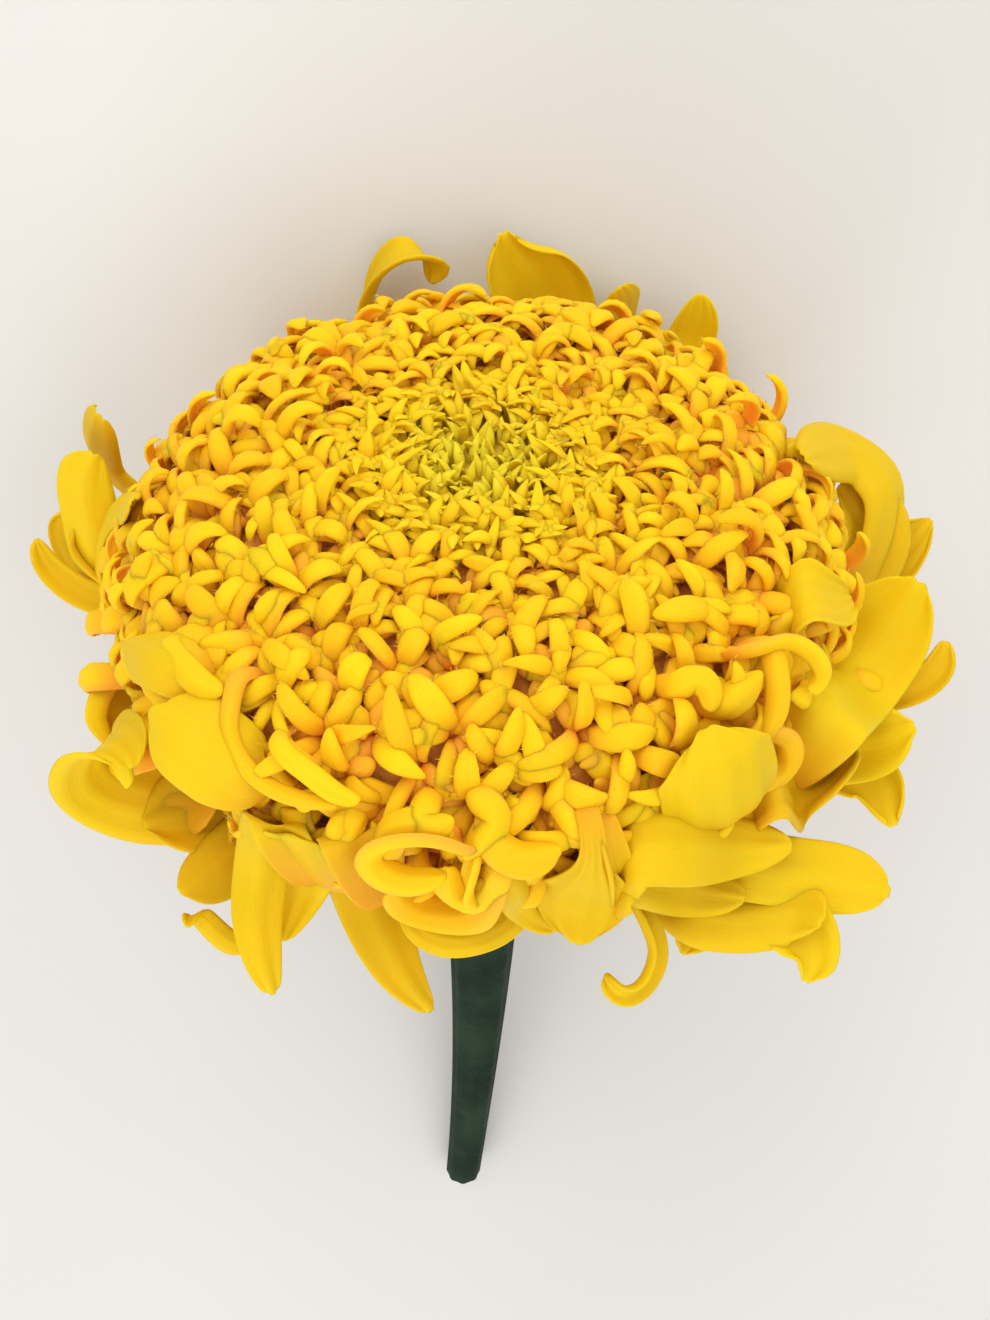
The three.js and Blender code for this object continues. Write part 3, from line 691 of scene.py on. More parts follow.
def add_floret(bm, hairs, spot, size, youth, rng, droop):
    """A star of curled lobes on its tube, with flatter lobes below it that fill the shade as painted shade.
    """
    root, out_of, down, side = spot
    lean = Vector((rng.uniform(-FLORET_LEAN, FLORET_LEAN), rng.uniform(-FLORET_LEAN, FLORET_LEAN)))
    out_of = (out_of + down * (lean.x + FLORET_SAG) + side * lean.y).normalized()
    down = (down - out_of * down.dot(out_of)).normalized()
    side = out_of.cross(down)
    start = rng.uniform(0, math.tau)
    count = rng.choice(LOBE_COUNTS)
    tone = rng.random()
    depth = rng.uniform(-1.2, 0.5)
    tuft = bmesh.new()
    for k in range(count):
        turn = start + (k + rng.uniform(-0.35, 0.35)) / count * math.tau
        out = down * math.cos(turn) + side * math.sin(turn)
        reach = size * rng.uniform(*LOBE_REACH) * (1 + 0.3 * droop * max(0, math.cos(turn)))
        neck = LOBE_NECK + depth + 1.4 * (1 - size) + rng.uniform(-0.8, 0.8)
        spread = math.radians(rng.uniform(*LOBE_SPREAD) - 10 * youth)
        curl = math.radians(rng.uniform(*LOBE_CURL) - 90 * youth)
        path = hook_path(0.8 * size, neck, reach, spread, curl, LOBE_RINGS)
        verts = copy_in(bm, lobe_blank)
        paint(bm, verts, min(1, max(0, tone + rng.uniform(-0.3, 0.3))), youth ** 2, reach / 5)
        girth = size * rng.uniform(*LOBE_GIRTH)
        point = rng.choice(LOBE_POINTS) if youth < GROWN_UP else YOUNG_POINT
        edge = bend_lobe(verts, (root, out_of), out, path, girth, rng.uniform(-1.5, 1.5) * size,
                         rng.uniform(-1.4, 1.4), point, rng.uniform(0.0, 0.55))
        if youth < GROWN_UP and rng.random() < HAIRY_SHARE:
            add_hairs(tuft, edge, out_of, rng)
    tuft.to_mesh(tuft_mesh)
    tuft.free()
    hairs.from_mesh(tuft_mesh)
    for k in range(LOW_LOBES):
        turn = start + (k + rng.uniform(-0.3, 0.3)) / LOW_LOBES * math.tau
        out = down * math.cos(turn) + side * math.sin(turn)
        reach = size * rng.uniform(*LOW_REACH)
        spread = math.radians(rng.uniform(*LOW_SPREAD))
        curl = math.radians(rng.uniform(*LOW_CURL))
        path = hook_path(0.5, 1.6 + depth, reach, spread, curl, PLAIN_RINGS)
        verts = copy_in(bm, plain_blank)
        # Painted shade: the low lobes take the more orange end of the tone and, through LOW_SHADE, the
        # orange of the root.
        paint(bm, verts, 0.2 * tone, youth ** 2, 1, LOW_SHADE)
        girth = size * rng.uniform(*LOW_GIRTH)
        bend_lobe(verts, (root, out_of), out, path, girth, 0, rng.uniform(-0.8, 0.8), 0.2)


tuft_mesh = bpy.data.meshes.new("tuft")
disc_rng = random.Random(21)
rings_of_florets = [petal_bmesh() for _ in range(DISC_PIECES)]
rings_of_hairs = [bmesh.new() for _ in range(DISC_PIECES)]
for i, angle in enumerate(disc_angles):
    radius, level = dome_curve(angle, FLORET_DEPTH)
    spot = dome_spot(angle, i * GOLDEN_ANGLE + disc_rng.uniform(-0.05, 0.05), FLORET_DEPTH)
    ring = i * DISC_PIECES // DISC_COUNT
    youth = 1 - smooth(7, 16, radius + disc_rng.uniform(-2, 2))
    droop = 1 - smooth(-6, 4, level)
    add_floret(rings_of_florets[ring], rings_of_hairs[ring], spot, floret_size(radius, level), youth,
               disc_rng, droop)
for number, bm in enumerate(rings_of_florets, 1):
    finish_piece(f"disc_florets_ring_{number}", bm, "disc_florets", disc_petal, rounded=1)

# %% [markdown]
# ## Hairs on the lobes
# The hairs become pieces of their own, one for each ring of florets. They are paler than the lobes,
# because light passes through them, and they are left without rounding.

# %% Hairs on the lobes
hair_material = dull_material("petal_hairs", (0.95, 0.62, 0.03), (1.0, 0.80, 0.10), 400.0, 0.6)
for number, bm in enumerate(rings_of_hairs, 1):
    finish_piece(f"disc_floret_hairs_{number}", bm, "disc_florets", hair_material)

# %% [markdown]
# ## Unopened florets
# In the middle the florets are closed or just opening: short, narrow and pointed, crowded upright
# with a few tips already bent over. They are made from the plainer blank, bent much less. The ones
# further out are riper, which makes them longer, more open and less green.

# %% Unopened florets
YOUNG_COUNT = 165
YOUNG_FLOOR = 15.4
YOUNG_TIPS = 3

young_rng = random.Random(5)
young = petal_bmesh()
for i in range(YOUNG_COUNT):
    radius = (YOUNG_RADIUS - 0.6) * math.sqrt((i + 0.5) / YOUNG_COUNT)
    azimuth = i * GOLDEN_ANGLE
    ripe = smooth(3, 11, radius + young_rng.uniform(-2, 2))
    root = around(azimuth, radius, YOUNG_FLOOR)
    out_of = (Vector((0, 0, 1)) + around(azimuth, 0.25 * radius / YOUNG_RADIUS, 0)).normalized()
    tone = young_rng.random()
    for _ in range(YOUNG_TIPS):
        turn = young_rng.uniform(0, math.tau)
        out = Vector((math.cos(turn), math.sin(turn), 0))
        out = (out - out_of * out.dot(out_of)).normalized()
        reach = mix(1.9, 3.2, ripe) * young_rng.uniform(0.8, 1.25)
        spread = math.radians(young_rng.uniform(5, 35) + 30 * ripe)
        curl = math.radians(young_rng.uniform(20, 110) + 40 * ripe)
        path = hook_path(0.3, young_rng.uniform(0.6, 2.6), reach, spread, curl, PLAIN_RINGS)
        verts = copy_in(young, plain_blank)
        paint(young, verts, tone, mix(1.0, 0.1, ripe), reach / 5)
        girth = young_rng.uniform(0.65, 1.05) * mix(0.9, 1.1, ripe)
        bend_lobe(verts, (root, out_of), out, path, girth, young_rng.uniform(-0.4, 0.4),
                  young_rng.uniform(-0.7, 0.7), 0.95)
finish_piece("young_florets_tips", young, "young_florets", young_petal, rounded=1)

# %% [markdown]
# ## Bed of the unopened florets
# The tips stand so close that only a dark yellow ground shows between them. It is a low turned cake.

# %% Bed of the unopened florets
BED_RADIUS = 11.7
BED_FOOT = 9.8
BED_SIDES = 64

young_bed_material = dull_material("young_floret_tubes", (0.58, 0.40, 0.02), (0.74, 0.56, 0.03), 900.0, 0.8)
bed = turned([(0, BED_FOOT), (BED_RADIUS, BED_FOOT), (BED_RADIUS, YOUNG_FLOOR + 0.4),
              (6, YOUNG_FLOOR + 1.0), (0, YOUNG_FLOOR + 1.2)], BED_SIDES)
finish_piece("young_florets_bed", bed, "young_florets", young_bed_material)

# %% [markdown]
# ## The rim of broad petals
# Under the dome a ring of broader petals opens out. Most are curled, folded or half hidden, so each
# one that shows has its own row here. A row gives the places that the petal's middle line runs
# through, then its flat width, how much it cups, how far each edge curls, its roll, how pointed its
# tip is, and the share of its length that is narrow claw. The places were chosen one by one on the
# photograph. Each was given a level, and its azimuth and radius follow from where the camera stood.

# %% Rows of petals
# [(azimuth, radius, level), ...], width, cup, curl anticlockwise, curl clockwise, roll, point, claw
PETALS_LEFT = [
    ([(153, 49.6, -4), (156, 48.6, 3), (158, 45.8, 10)], 7.5, -1, 0, -0.6, 0, 0, 0.3),
    ([(166, 44.8, -9), (164, 46.6, -3), (163, 46.5, 3), (162, 44.8, 7)], 7.5, -0.8, 0, 0, 20, 0, 0.3),
    ([(169, 44, -9), (166, 44.9, -5), (164, 43.8, -1), (182, 35.9, 13.5)], 5.3, -1, 0, 0, 0, 0.12, 0.3),
    ([(166, 44.2, -11), (164, 48.3, -9), (163, 49.9, -6), (162, 48.6, -3)],
     6.9, 0.8, 0.6, 0.6, -25, 0, 0.3),
    ([(168, 43.7, -12), (167, 48.1, -11.5), (166, 51.5, -9), (166, 52.5, -5)],
     4.1, 0.9, 0.3, 0.3, 0, 0.18, 0.3),
    ([(195, 36.4, -11), (193, 40.2, -9), (193, 43.5, -7)], 8.6, 0.5, 0.9, 0.3, 0, 0, 0.2),
    ([(212, 35.4, -15), (208, 39.9, -14), (205, 43.8, -12), (206, 45, -7), (209, 43.6, -2),
      (213, 42.5, 0), (216, 42.8, -1)], 10.3, 0.5, 0.5, 0.6, 0, 0, 0.15),
    ([(218, 29.9, -15), (212, 35.6, -15.5), (210, 42, -15)], 10.3, 0.5, 0.6, 0, 0, 0, 0.2),
    ([(221, 31, -15.5), (222, 36.9, -17), (221, 42.3, -18)], 7.8, -0.5, 0, -0.4, 0, 0, 0.2),
    ([(229, 34, -17), (234, 39.2, -20), (233, 42.1, -20), (228, 42.8, -18.5), (226, 43.1, -17),
      (228, 45, -16.5)], 3.7, 1.3, 0.5, 0.5, 0, 0, 0.25),
    ([(242, 40.6, 4), (234, 38.1, -10), (236, 41.1, -14), (239, 43.3, -17), (242, 44.8, -20)],
     6.4, -1, 0, 0, 0, 0.3, 0.12),
    ([(246, 40.7, 3.6), (238, 35.1, -14), (239, 39.8, -18)], 7.5, 0.5, 0.3, 0.3, 0, 0.36, 0.2),
    ([(254, 40.2, 6.3), (248, 31.4, -15), (254, 35.1, -19), (259, 37.7, -22), (263, 39.2, -24)],
     8, -0.5, 0, 0, 0, 0.48, 0.12),
]
PETALS_NEAR = [
    ([(277, 34.3, -10), (274, 36, -12), (268, 37.5, -12.5), (263, 37.5, -12.5), (257, 35.8, -11)],
     4.1, -0.8, 0, 0, 0, 0.18, 0.2),
    ([(293, 37, -9), (294, 40, -11), (294, 42.4, -13), (291, 44.3, -15), (288, 44.6, -15),
      (287, 42.4, -14)], 4.8, 0.9, 0, 0.5, -30, 0.36, 0.2),
    ([(286, 30.3, -14), (283, 32.4, -15), (281, 34, -16)], 9.2, 0.4, 0.3, 0.3, 0, 0.12, 0.25),
    ([(263, 29.3, -14), (263, 31.8, -15), (262, 34.3, -16)], 8, 0.3, 0.3, 0.3, 0, 0.12, 0.25),
    ([(304, 35, -14), (303, 36, -15.5), (300, 35.1, -17)], 6.9, 0.5, 0.3, 0.3, 0, 0.12, 0.25),
]
PETALS_RIGHT = [
    ([(291, 40.4, 2.6), (299, 42, 1.3), (309, 41.9, -4), (314, 45, -4)], 8.5, -0.7, 0, 0, 0, 0.27, 0.2),
    ([(291, 40.8, -1), (303, 39.3, -10), (308, 43.5, -10)], 7.1, -0.5, 0, 0.3, 0, 0.06, 0.2),
    ([(310, 40, -9), (316, 45.1, -10), (320, 49.3, -11), (322, 53.1, -11.5)],
     7.6, -0.6, 0, 0, 0, 0, 0.2),
    ([(302, 39.9, -12), (308, 43.5, -13), (313, 47, -12), (313, 50.2, -11)],
     8.3, -0.6, 0, -0.6, 0, 0, 0.25),
    ([(313, 44, -14), (313, 47.8, -15), (312, 50.5, -17), (310, 51.2, -18)],
     8.3, 0.8, 0.3, 0.9, 0, 0.36, 0.3),
    ([(304, 39.1, -14), (303, 40.4, -16), (300, 41.3, -18)], 5.8, 0.5, 0.2, 0.2, 0, 0.36, 0.25),
    ([(315, 40.4, 2.3), (326, 39.8, -8), (329, 42.7, -5), (333, 42.8, -2), (332, 40.8, 0.7),
      (325, 40.7, 3)], 9.2, -0.5, -0.5, 0.5, 10, 0, 0.2),
    ([(339, 40.5, -9.5), (340, 44.7, -7.5), (341, 48.3, -5)], 9.2, 0.5, 0, 0.6, 0, 0.18, 0.25),
    ([(338, 41.4, -12), (338, 45.2, -13), (334, 49, -15)], 7.6, 0.9, 0, 0.7, 0, 0.42, 0.25),
    ([(326, 40.2, 6.5), (346, 40.8, -2), (350, 43.8, 3), (352, 46, 7.5)],
     12.1, -0.45, 0, 0.5, 0, 0, 0.2),
    ([(347, 42.3, -7), (348, 46.5, -5.5), (349, 49.2, -3), (350, 49.6, 0.5)],
     5.1, 0.9, 0.3, 0.3, 0, 0.12, 0.25),
    ([(5, 42, -4), (9, 45.5, 0.5), (13, 46, 5.5), (17, 42.6, 8.5), (6, 33.6, 15.3)],
     8.6, -0.5, 0, 0, 0, 0.18, 0.2),
    ([(7, 40.3, -6), (9, 43.8, -1), (13, 43, 3), (16, 40.9, 4.5)], 9.2, 0.4, 0, 0.3, 0, 0.18, 0.2),
    ([(11, 44.7, -7), (12, 48.6, -4), (13, 52, -1)], 8, 0.6, 0, 0.5, 0, 0.42, 0.25),
    ([(334, 34.8, 14.4), (338, 37.6, 11.7), (344, 39.2, 9.1)], 8, 0.3, 0.3, 0.3, 0, 0.12, 0.2),
]
PETALS_FAR = [
    ([(107, 47.5, 1), (105, 47.7, 7), (101, 46.4, 10.5), (97, 46.6, 8.5), (98, 45.7, 6)],
     7.5, -0.7, 0, 0, 25, 0.12, 0.25),
    ([(81, 46.1, 1), (83, 46.5, 6.5), (86, 46, 10.5), (87, 45.7, 14)], 14.9, 0.7, 0, 0.6, 0, 0.54, 0.2),
    ([(70, 48.4, 0), (69, 47.2, 4), (69, 45.4, 8)], 6.9, -0.5, 0.2, 0.2, 0, 0, 0.25),
    ([(59, 48.4, 0), (58, 48.9, 4.5), (58, 49, 8)], 6.9, 0.5, 0.2, 0.2, 0, 0.12, 0.25),
]
print("petals with their own rows:", sum(map(len, (PETALS_LEFT, PETALS_NEAR, PETALS_RIGHT, PETALS_FAR))))

# %% [markdown]
# ## The middle line of a petal
# A petal could be drawn as a flat outline and bent with a modifier. Wrapping a grid round a curve in
# space is more direct, and lets the petal twist, hook over and roll its edges in. The curve passes
# through the places of the row. It is a Catmull-Rom curve that takes the gaps between the places into
# account, so that it makes no loops. The line is then shared out evenly, one step for each row of verts.

# %% The middle line of a petal
PETAL_ALONG = 20
FINE_STEPS = 120


def curve_through(points, share):
    """A point and its direction on a smooth curve through some points, from 0 to 1."""
    points = [2 * points[0] - points[1], *points, 2 * points[-1] - points[-2]]
    spans = len(points) - 3
    here = min(spans - 1, int(share * spans))
    part = share * spans - here
    before, start, end, after = points[here:here + 4]
    gaps = [(b - a).length ** 0.5 for a, b in ((before, start), (start, end), (end, after))]
    leave = (start - before) / gaps[0] - (end - before) / (gaps[0] + gaps[1]) + (end - start) / gaps[1]
    arrive = (end - start) / gaps[1] - (after - start) / (gaps[1] + gaps[2]) + (after - end) / gaps[2]
    leave *= gaps[1]
    arrive *= gaps[1]
    square = 3 * (end - start) - 2 * leave - arrive
    cube = 2 * (start - end) + leave + arrive
    place = start + leave * part + square * part ** 2 + cube * part ** 3
    return place, (leave + 2 * square * part + 3 * cube * part ** 2).normalized()


def middle_line(points):
    """Evenly spaced places on the curve through some points, each with its direction."""
    fine = [curve_through(points, i / FINE_STEPS) for i in range(FINE_STEPS + 1)]
    reached = [0.0]
    for before, after in zip(fine, fine[1:]):
        reached.append(reached[-1] + (after[0] - before[0]).length)
    steps = [step / PETAL_ALONG * reached[-1] for step in range(PETAL_ALONG + 1)]
    line = [fine[min(range(FINE_STEPS + 1), key=lambda i: abs(reached[i] - step))] for step in steps]
    return line, reached[-1]


test_line, test_length = middle_line([Vector(spot) for spot in ((0, 0, 0), (10, 0, 0), (10, 10, 0))])
print("a line of", len(test_line), "places,", round(test_length, 1), "mm long")

# %% [markdown]
# ## Outline and section of a petal
# A petal starts as a narrow claw, widens, and ends in a blunt or pointed tip. Across, it is cupped, and
# each edge can roll in or out by its own amount. The section is walked from the middle to the edge in
# small steps, each with its own slope, so that a rolled edge keeps its true width.

# %% Outline and section of a petal
PETAL_ACROSS = 8
CLAW_HALF_WIDTH = 1.2
TIP_FROM = 0.76


def petal_half_width(along, width, point, claw):
    """Half the petal's width, from its narrow claw to its tip."""
    tip = max(0, (along - TIP_FROM) / (1 - TIP_FROM))
    blunt = math.sqrt(1 - 0.88 * tip ** 2.6)
    sharp = 1 - 0.9 * tip ** 1.4
    start = min(CLAW_HALF_WIDTH, width / 2)
    return mix(start, width / 2, smooth(claw - 0.12, claw + 0.3, along)) * mix(blunt, sharp, point)


def cross_section(across, cup, anticlockwise, clockwise):
    """Where a line across the petal lies, as (sideways, upward, slope) for a half width of 1."""
    edge = clockwise if across > 0 else anticlockwise
    sideways = upward = slope = 0.0
    parts = max(1, round(abs(across) * PETAL_ACROSS / 2))
    for part in range(parts):
        here = abs(across) * (part + 0.5) / parts
        slope = cup * here + edge * here ** 3
        sideways += math.cos(slope) * abs(across) / parts
        upward += math.sin(slope) * abs(across) / parts
    turn = math.copysign(1, across)
    return sideways * turn, upward, slope * turn


print("half a petal 9 mm wide, from claw to tip:",
      [round(petal_half_width(step / 5, 9, 0.2, 0.2), 1) for step in range(6)])

# %% [markdown]
# ## Wrapping a petal
# The direction across the petal is carried back along the line from its tip, place by place, so that
# it never flips, and the tip faces the way it should. Shallow ridges, a waved edge and an uneven tip
# come on top. Verts that would end up below the table are lifted onto it, because petals are soft.

# %% Wrapping a petal
PETAL_THICKNESS = 0.5
RIM_START = ((27.5, -15.6), (34.5, -12.8))
NEAR_FACING = Vector((0, -0.55, 0.83))
ROLLED_CUP = -1.4
RIDGE = 0.036
ROUND_TIP = 0.10


def outward(place):
    """The direction out of the flower at a place on its rim: away from the axis, and up."""
    return (Vector((place.x, place.y, 0)).normalized() + Vector((0, 0, 0.8))).normalized()


def shape_petal(bm, row, start, facing, rng):
    """Wraps a grid round the middle line of a petal, with its tip turned to face a direction."""
    picks, width, cup, anticlockwise, clockwise, roll, point, claw = row
    first_azimuth = math.radians(picks[0][0])
    points = [around(first_azimuth, *spot) for spot in start]
    points += [around(math.radians(azimuth), radius, level) for azimuth, radius, level in picks]
    line, length = middle_line(points)
    side = line[-1][1].cross(facing or outward(line[-1][0]))
    frames = []
    for place, forward in reversed(line):
        side = (side - forward * side.dot(forward)).normalized()
        frames.insert(0, (place, forward, side))
    first = len(bm.verts)
    bmesh.ops.create_grid(bm, x_segments=PETAL_ACROSS, y_segments=PETAL_ALONG, size=1)
    bm.verts.ensure_lookup_table()
    verts = bm.verts[first:]
    for vert in verts:
        vert.co.z = (vert.co.y + 1) / 2
        # Painted shade: a rolled petal's edges end up inside its tube, and a lower y gives them the
        # underside's orange; other petals get y = 1, which paints none.
        vert.co.y = mix(1, -0.5, vert.co.x ** 2) if cup < ROLLED_CUP else 1
    paint(bm, verts, rng.random(), 0, length / 6)
    phase, notch, ripple = rng.uniform(0, 6), rng.uniform(0.0, 0.06), rng.uniform(0.15, 0.45)
    ridges = rng.choice((2, 3, 3, 4))
    for vert in verts:
        across, along = vert.co.x, vert.co.z
        place, forward, side = frames[round(along * PETAL_ALONG)]
        side = Matrix.Rotation(math.radians(roll) * smooth(0.1, 0.5, along), 3, forward) @ side
        up = side.cross(forward)
        late = smooth(0.5, 1, along)
        opened = smooth(-0.1, 0.45, along)
        edges = (anticlockwise * late, clockwise * late)
        sideways, upward, slope = cross_section(across, cup * opened, *edges)
        half = petal_half_width(along, width, point, claw)
        out_of = up * math.cos(slope) - side * math.sin(slope)
        ridge = RIDGE * width * math.cos(ridges * math.pi * across) * smooth(0.2, 0.5, along)
        wave = ripple * math.sin(6 * along + phase + 2 * across) * across ** 2 * late
        back = late * width * (ROUND_TIP * across ** 2 + notch * math.cos(2.5 * math.pi * across) ** 2)
        place = place + (side * sideways + up * upward) * half + out_of * (ridge + wave) - forward * back
        sunk = PETAL_THICKNESS / 2 + 0.05 - height_above_table(place)
        vert.co = place + TO_CEILING * max(0, sunk)


# %% [markdown]
# ## The petals that show
# A petal is about half a millimetre thick. A Solidify modifier gives it that, after the wrapping, and
# a Subdivision Surface rounds it. One piece holds the petals of one side of the flower.

# %% The petals that show
def add_thickness(piece):
    """A Solidify modifier that thickens petals to both sides."""
    shell = piece.modifiers.new("thickness", "SOLIDIFY")
    shell.thickness = PETAL_THICKNESS * MILLIMETRE
    shell.offset = 0


def make_petals(name, rows, start, facing, seed, node="ray_florets", material=ray_petal):
    """One piece from a list of rows, with thickness and rounding."""
    rng = random.Random(seed)
    bm = petal_bmesh()
    for row in rows:
        shape_petal(bm, row, start, facing, rng)
    piece = finish_piece(name, bm, node, material, closed=False)
    add_thickness(piece)
    add_rounding(piece, 1)


make_petals("ray_petals_left", PETALS_LEFT, RIM_START, NEAR_FACING, 31)
make_petals("ray_petals_near", PETALS_NEAR, RIM_START, NEAR_FACING, 34)
make_petals("ray_petals_right", PETALS_RIGHT, RIM_START, NEAR_FACING, 35)
make_petals("ray_petals_far", PETALS_FAR, RIM_START, NEAR_FACING, 36)

# %% [markdown]
# ## Petals on the side it lies on
# The photograph doesn't show the far half of the rim, nor the petals turned back under the dome. They
# are spread evenly here, with the same widths, and each draws its own turn and curl from a formula.

# %% Petals on the side it lies on
BEHIND_COUNT = 15
BEHIND_FROM = 24
BEHIND_TO = 152
BELOW_COUNT = 14
TURNED_BACK_START = ((14, -21.5), (20, -21.8))


def draw(item, use):
    """A number from 0 to 1 that is always the same for an item and a use."""
    value = math.sin(item * 12.9898 + (200 + use) * 78.233) * 43758.5453
    return value - math.floor(value)


def petals_behind():
    """The rest of the ring, on the side that the flower lies on."""
    for i in range(BEHIND_COUNT):
        azimuth = mix(BEHIND_FROM, BEHIND_TO, i / (BEHIND_COUNT - 1)) + 4 * (draw(i, 31) - 0.5)
        sweep = 10 * (draw(i, 32) - 0.5)
        rise = 7 if i % 3 == 0 else 0
        picks = [(azimuth + 0.3 * sweep, 41.5 + 2 * draw(i, 33), -10.5 - 2 * draw(i, 34) + 0.3 * rise),
                 (azimuth + 0.6 * sweep, 46 + 2 * draw(i, 33), -10.5 - 3 * draw(i, 34) + 0.7 * rise),
                 (azimuth + sweep, 48.5 + 5 * draw(i, 35), -11 - 6 * draw(i, 36) + 1.3 * rise)]
        width = 7.5 + 3.5 * draw(i, 37)
        cup = 1.4 * (draw(i, 38) - 0.5)
        edges = (1.2 * draw(i, 39) - 0.3, 1.2 * draw(i, 40) - 0.3)
        roll = 20 * (draw(i, 42) - 0.5)
        yield picks, width, cup, *edges, roll, 0.2, 0.2


def petals_below():
    """Shorter petals turned back under the dome."""
    for i in range(BELOW_COUNT):
        azimuth = (i + 0.5) * (360 / BELOW_COUNT) + 6 * (draw(i, 41) - 0.5)
        to_table = 0.5 + 0.5 * math.sin(math.radians(azimuth))
        tip_level = -17.5 - 3 * to_table - 2 * draw(i, 44)
        picks = [(azimuth, 26 + 4 * to_table, -19 - 1.5 * draw(i, 43)),
                 (azimuth + 4 * (draw(i, 42) - 0.5), 31 + 11 * to_table, tip_level)]
        edges = (0.5 * draw(i, 46), 0.5 * draw(i, 47))
        yield picks, 9 + 2.5 * draw(i, 45), -0.4, *edges, 0, 0.1, 0.2


make_petals("ray_petals_behind", petals_behind(), RIM_START, None, 32)
make_petals("ray_petals_turned_back", petals_below(), TURNED_BACK_START, None, 33)

# %% [markdown]
# ## Curls at the foot of the dome
# The lowest disc florets are the longest. Their lobes hang out over the rim as rings, hooks and
# worm-like curls, with their edges rolled in until they are nearly tubes. They are shaped like the
# petals, from rows for the side that shows and from a formula for the rest of the ring. A few broad
# petals also come out between the lobes, above the rim. The roots of all these lie inside the dome.

# %% Curls at the foot of the dome
PETALS_OVER = [
    ([(222, 36.6, 12.8), (216, 38.4, 13), (206, 39.2, 9.1)], 7.4, -1.2, 0, -0.6, 0, 0, 0.2),
    ([(238, 39.6, 6.7), (234, 40.6, 9.5), (229, 41.4, 11.3), (221, 41.5, 10.6)],
     9.9, -0.8, -0.2, 0.2, 0, 0, 0.22),
    ([(285, 39.4, 7.9), (285, 41.2, 4.9), (285, 40.8, -1.1), (285, 38.9, -8.5), (284, 40.7, -11)],
     10.9, -0.55, 0, 0, 0, 0, 0.52),
    ([(287, 39.3, 6.4), (288, 41, 2.3), (291, 38.6, -7), (292, 39.5, -7), (291, 40.5, -3)],
     3.9, -1, 0, 0, 0, 0.24, 0.2),
    ([(273, 39.7, 4.7), (275, 40.8, 0.6), (279, 36.5, -10), (282, 38.4, -11)],
     5.1, -1, 0, 0, 0, 0.12, 0.2),
    ([(306, 40.3, -0.6), (304, 41.9, 7.3), (303, 40.9, 11.8), (303, 38.2, 13.8)],
     13.2, -0.8, 0, -0.5, 0, 0, 0.12),
]
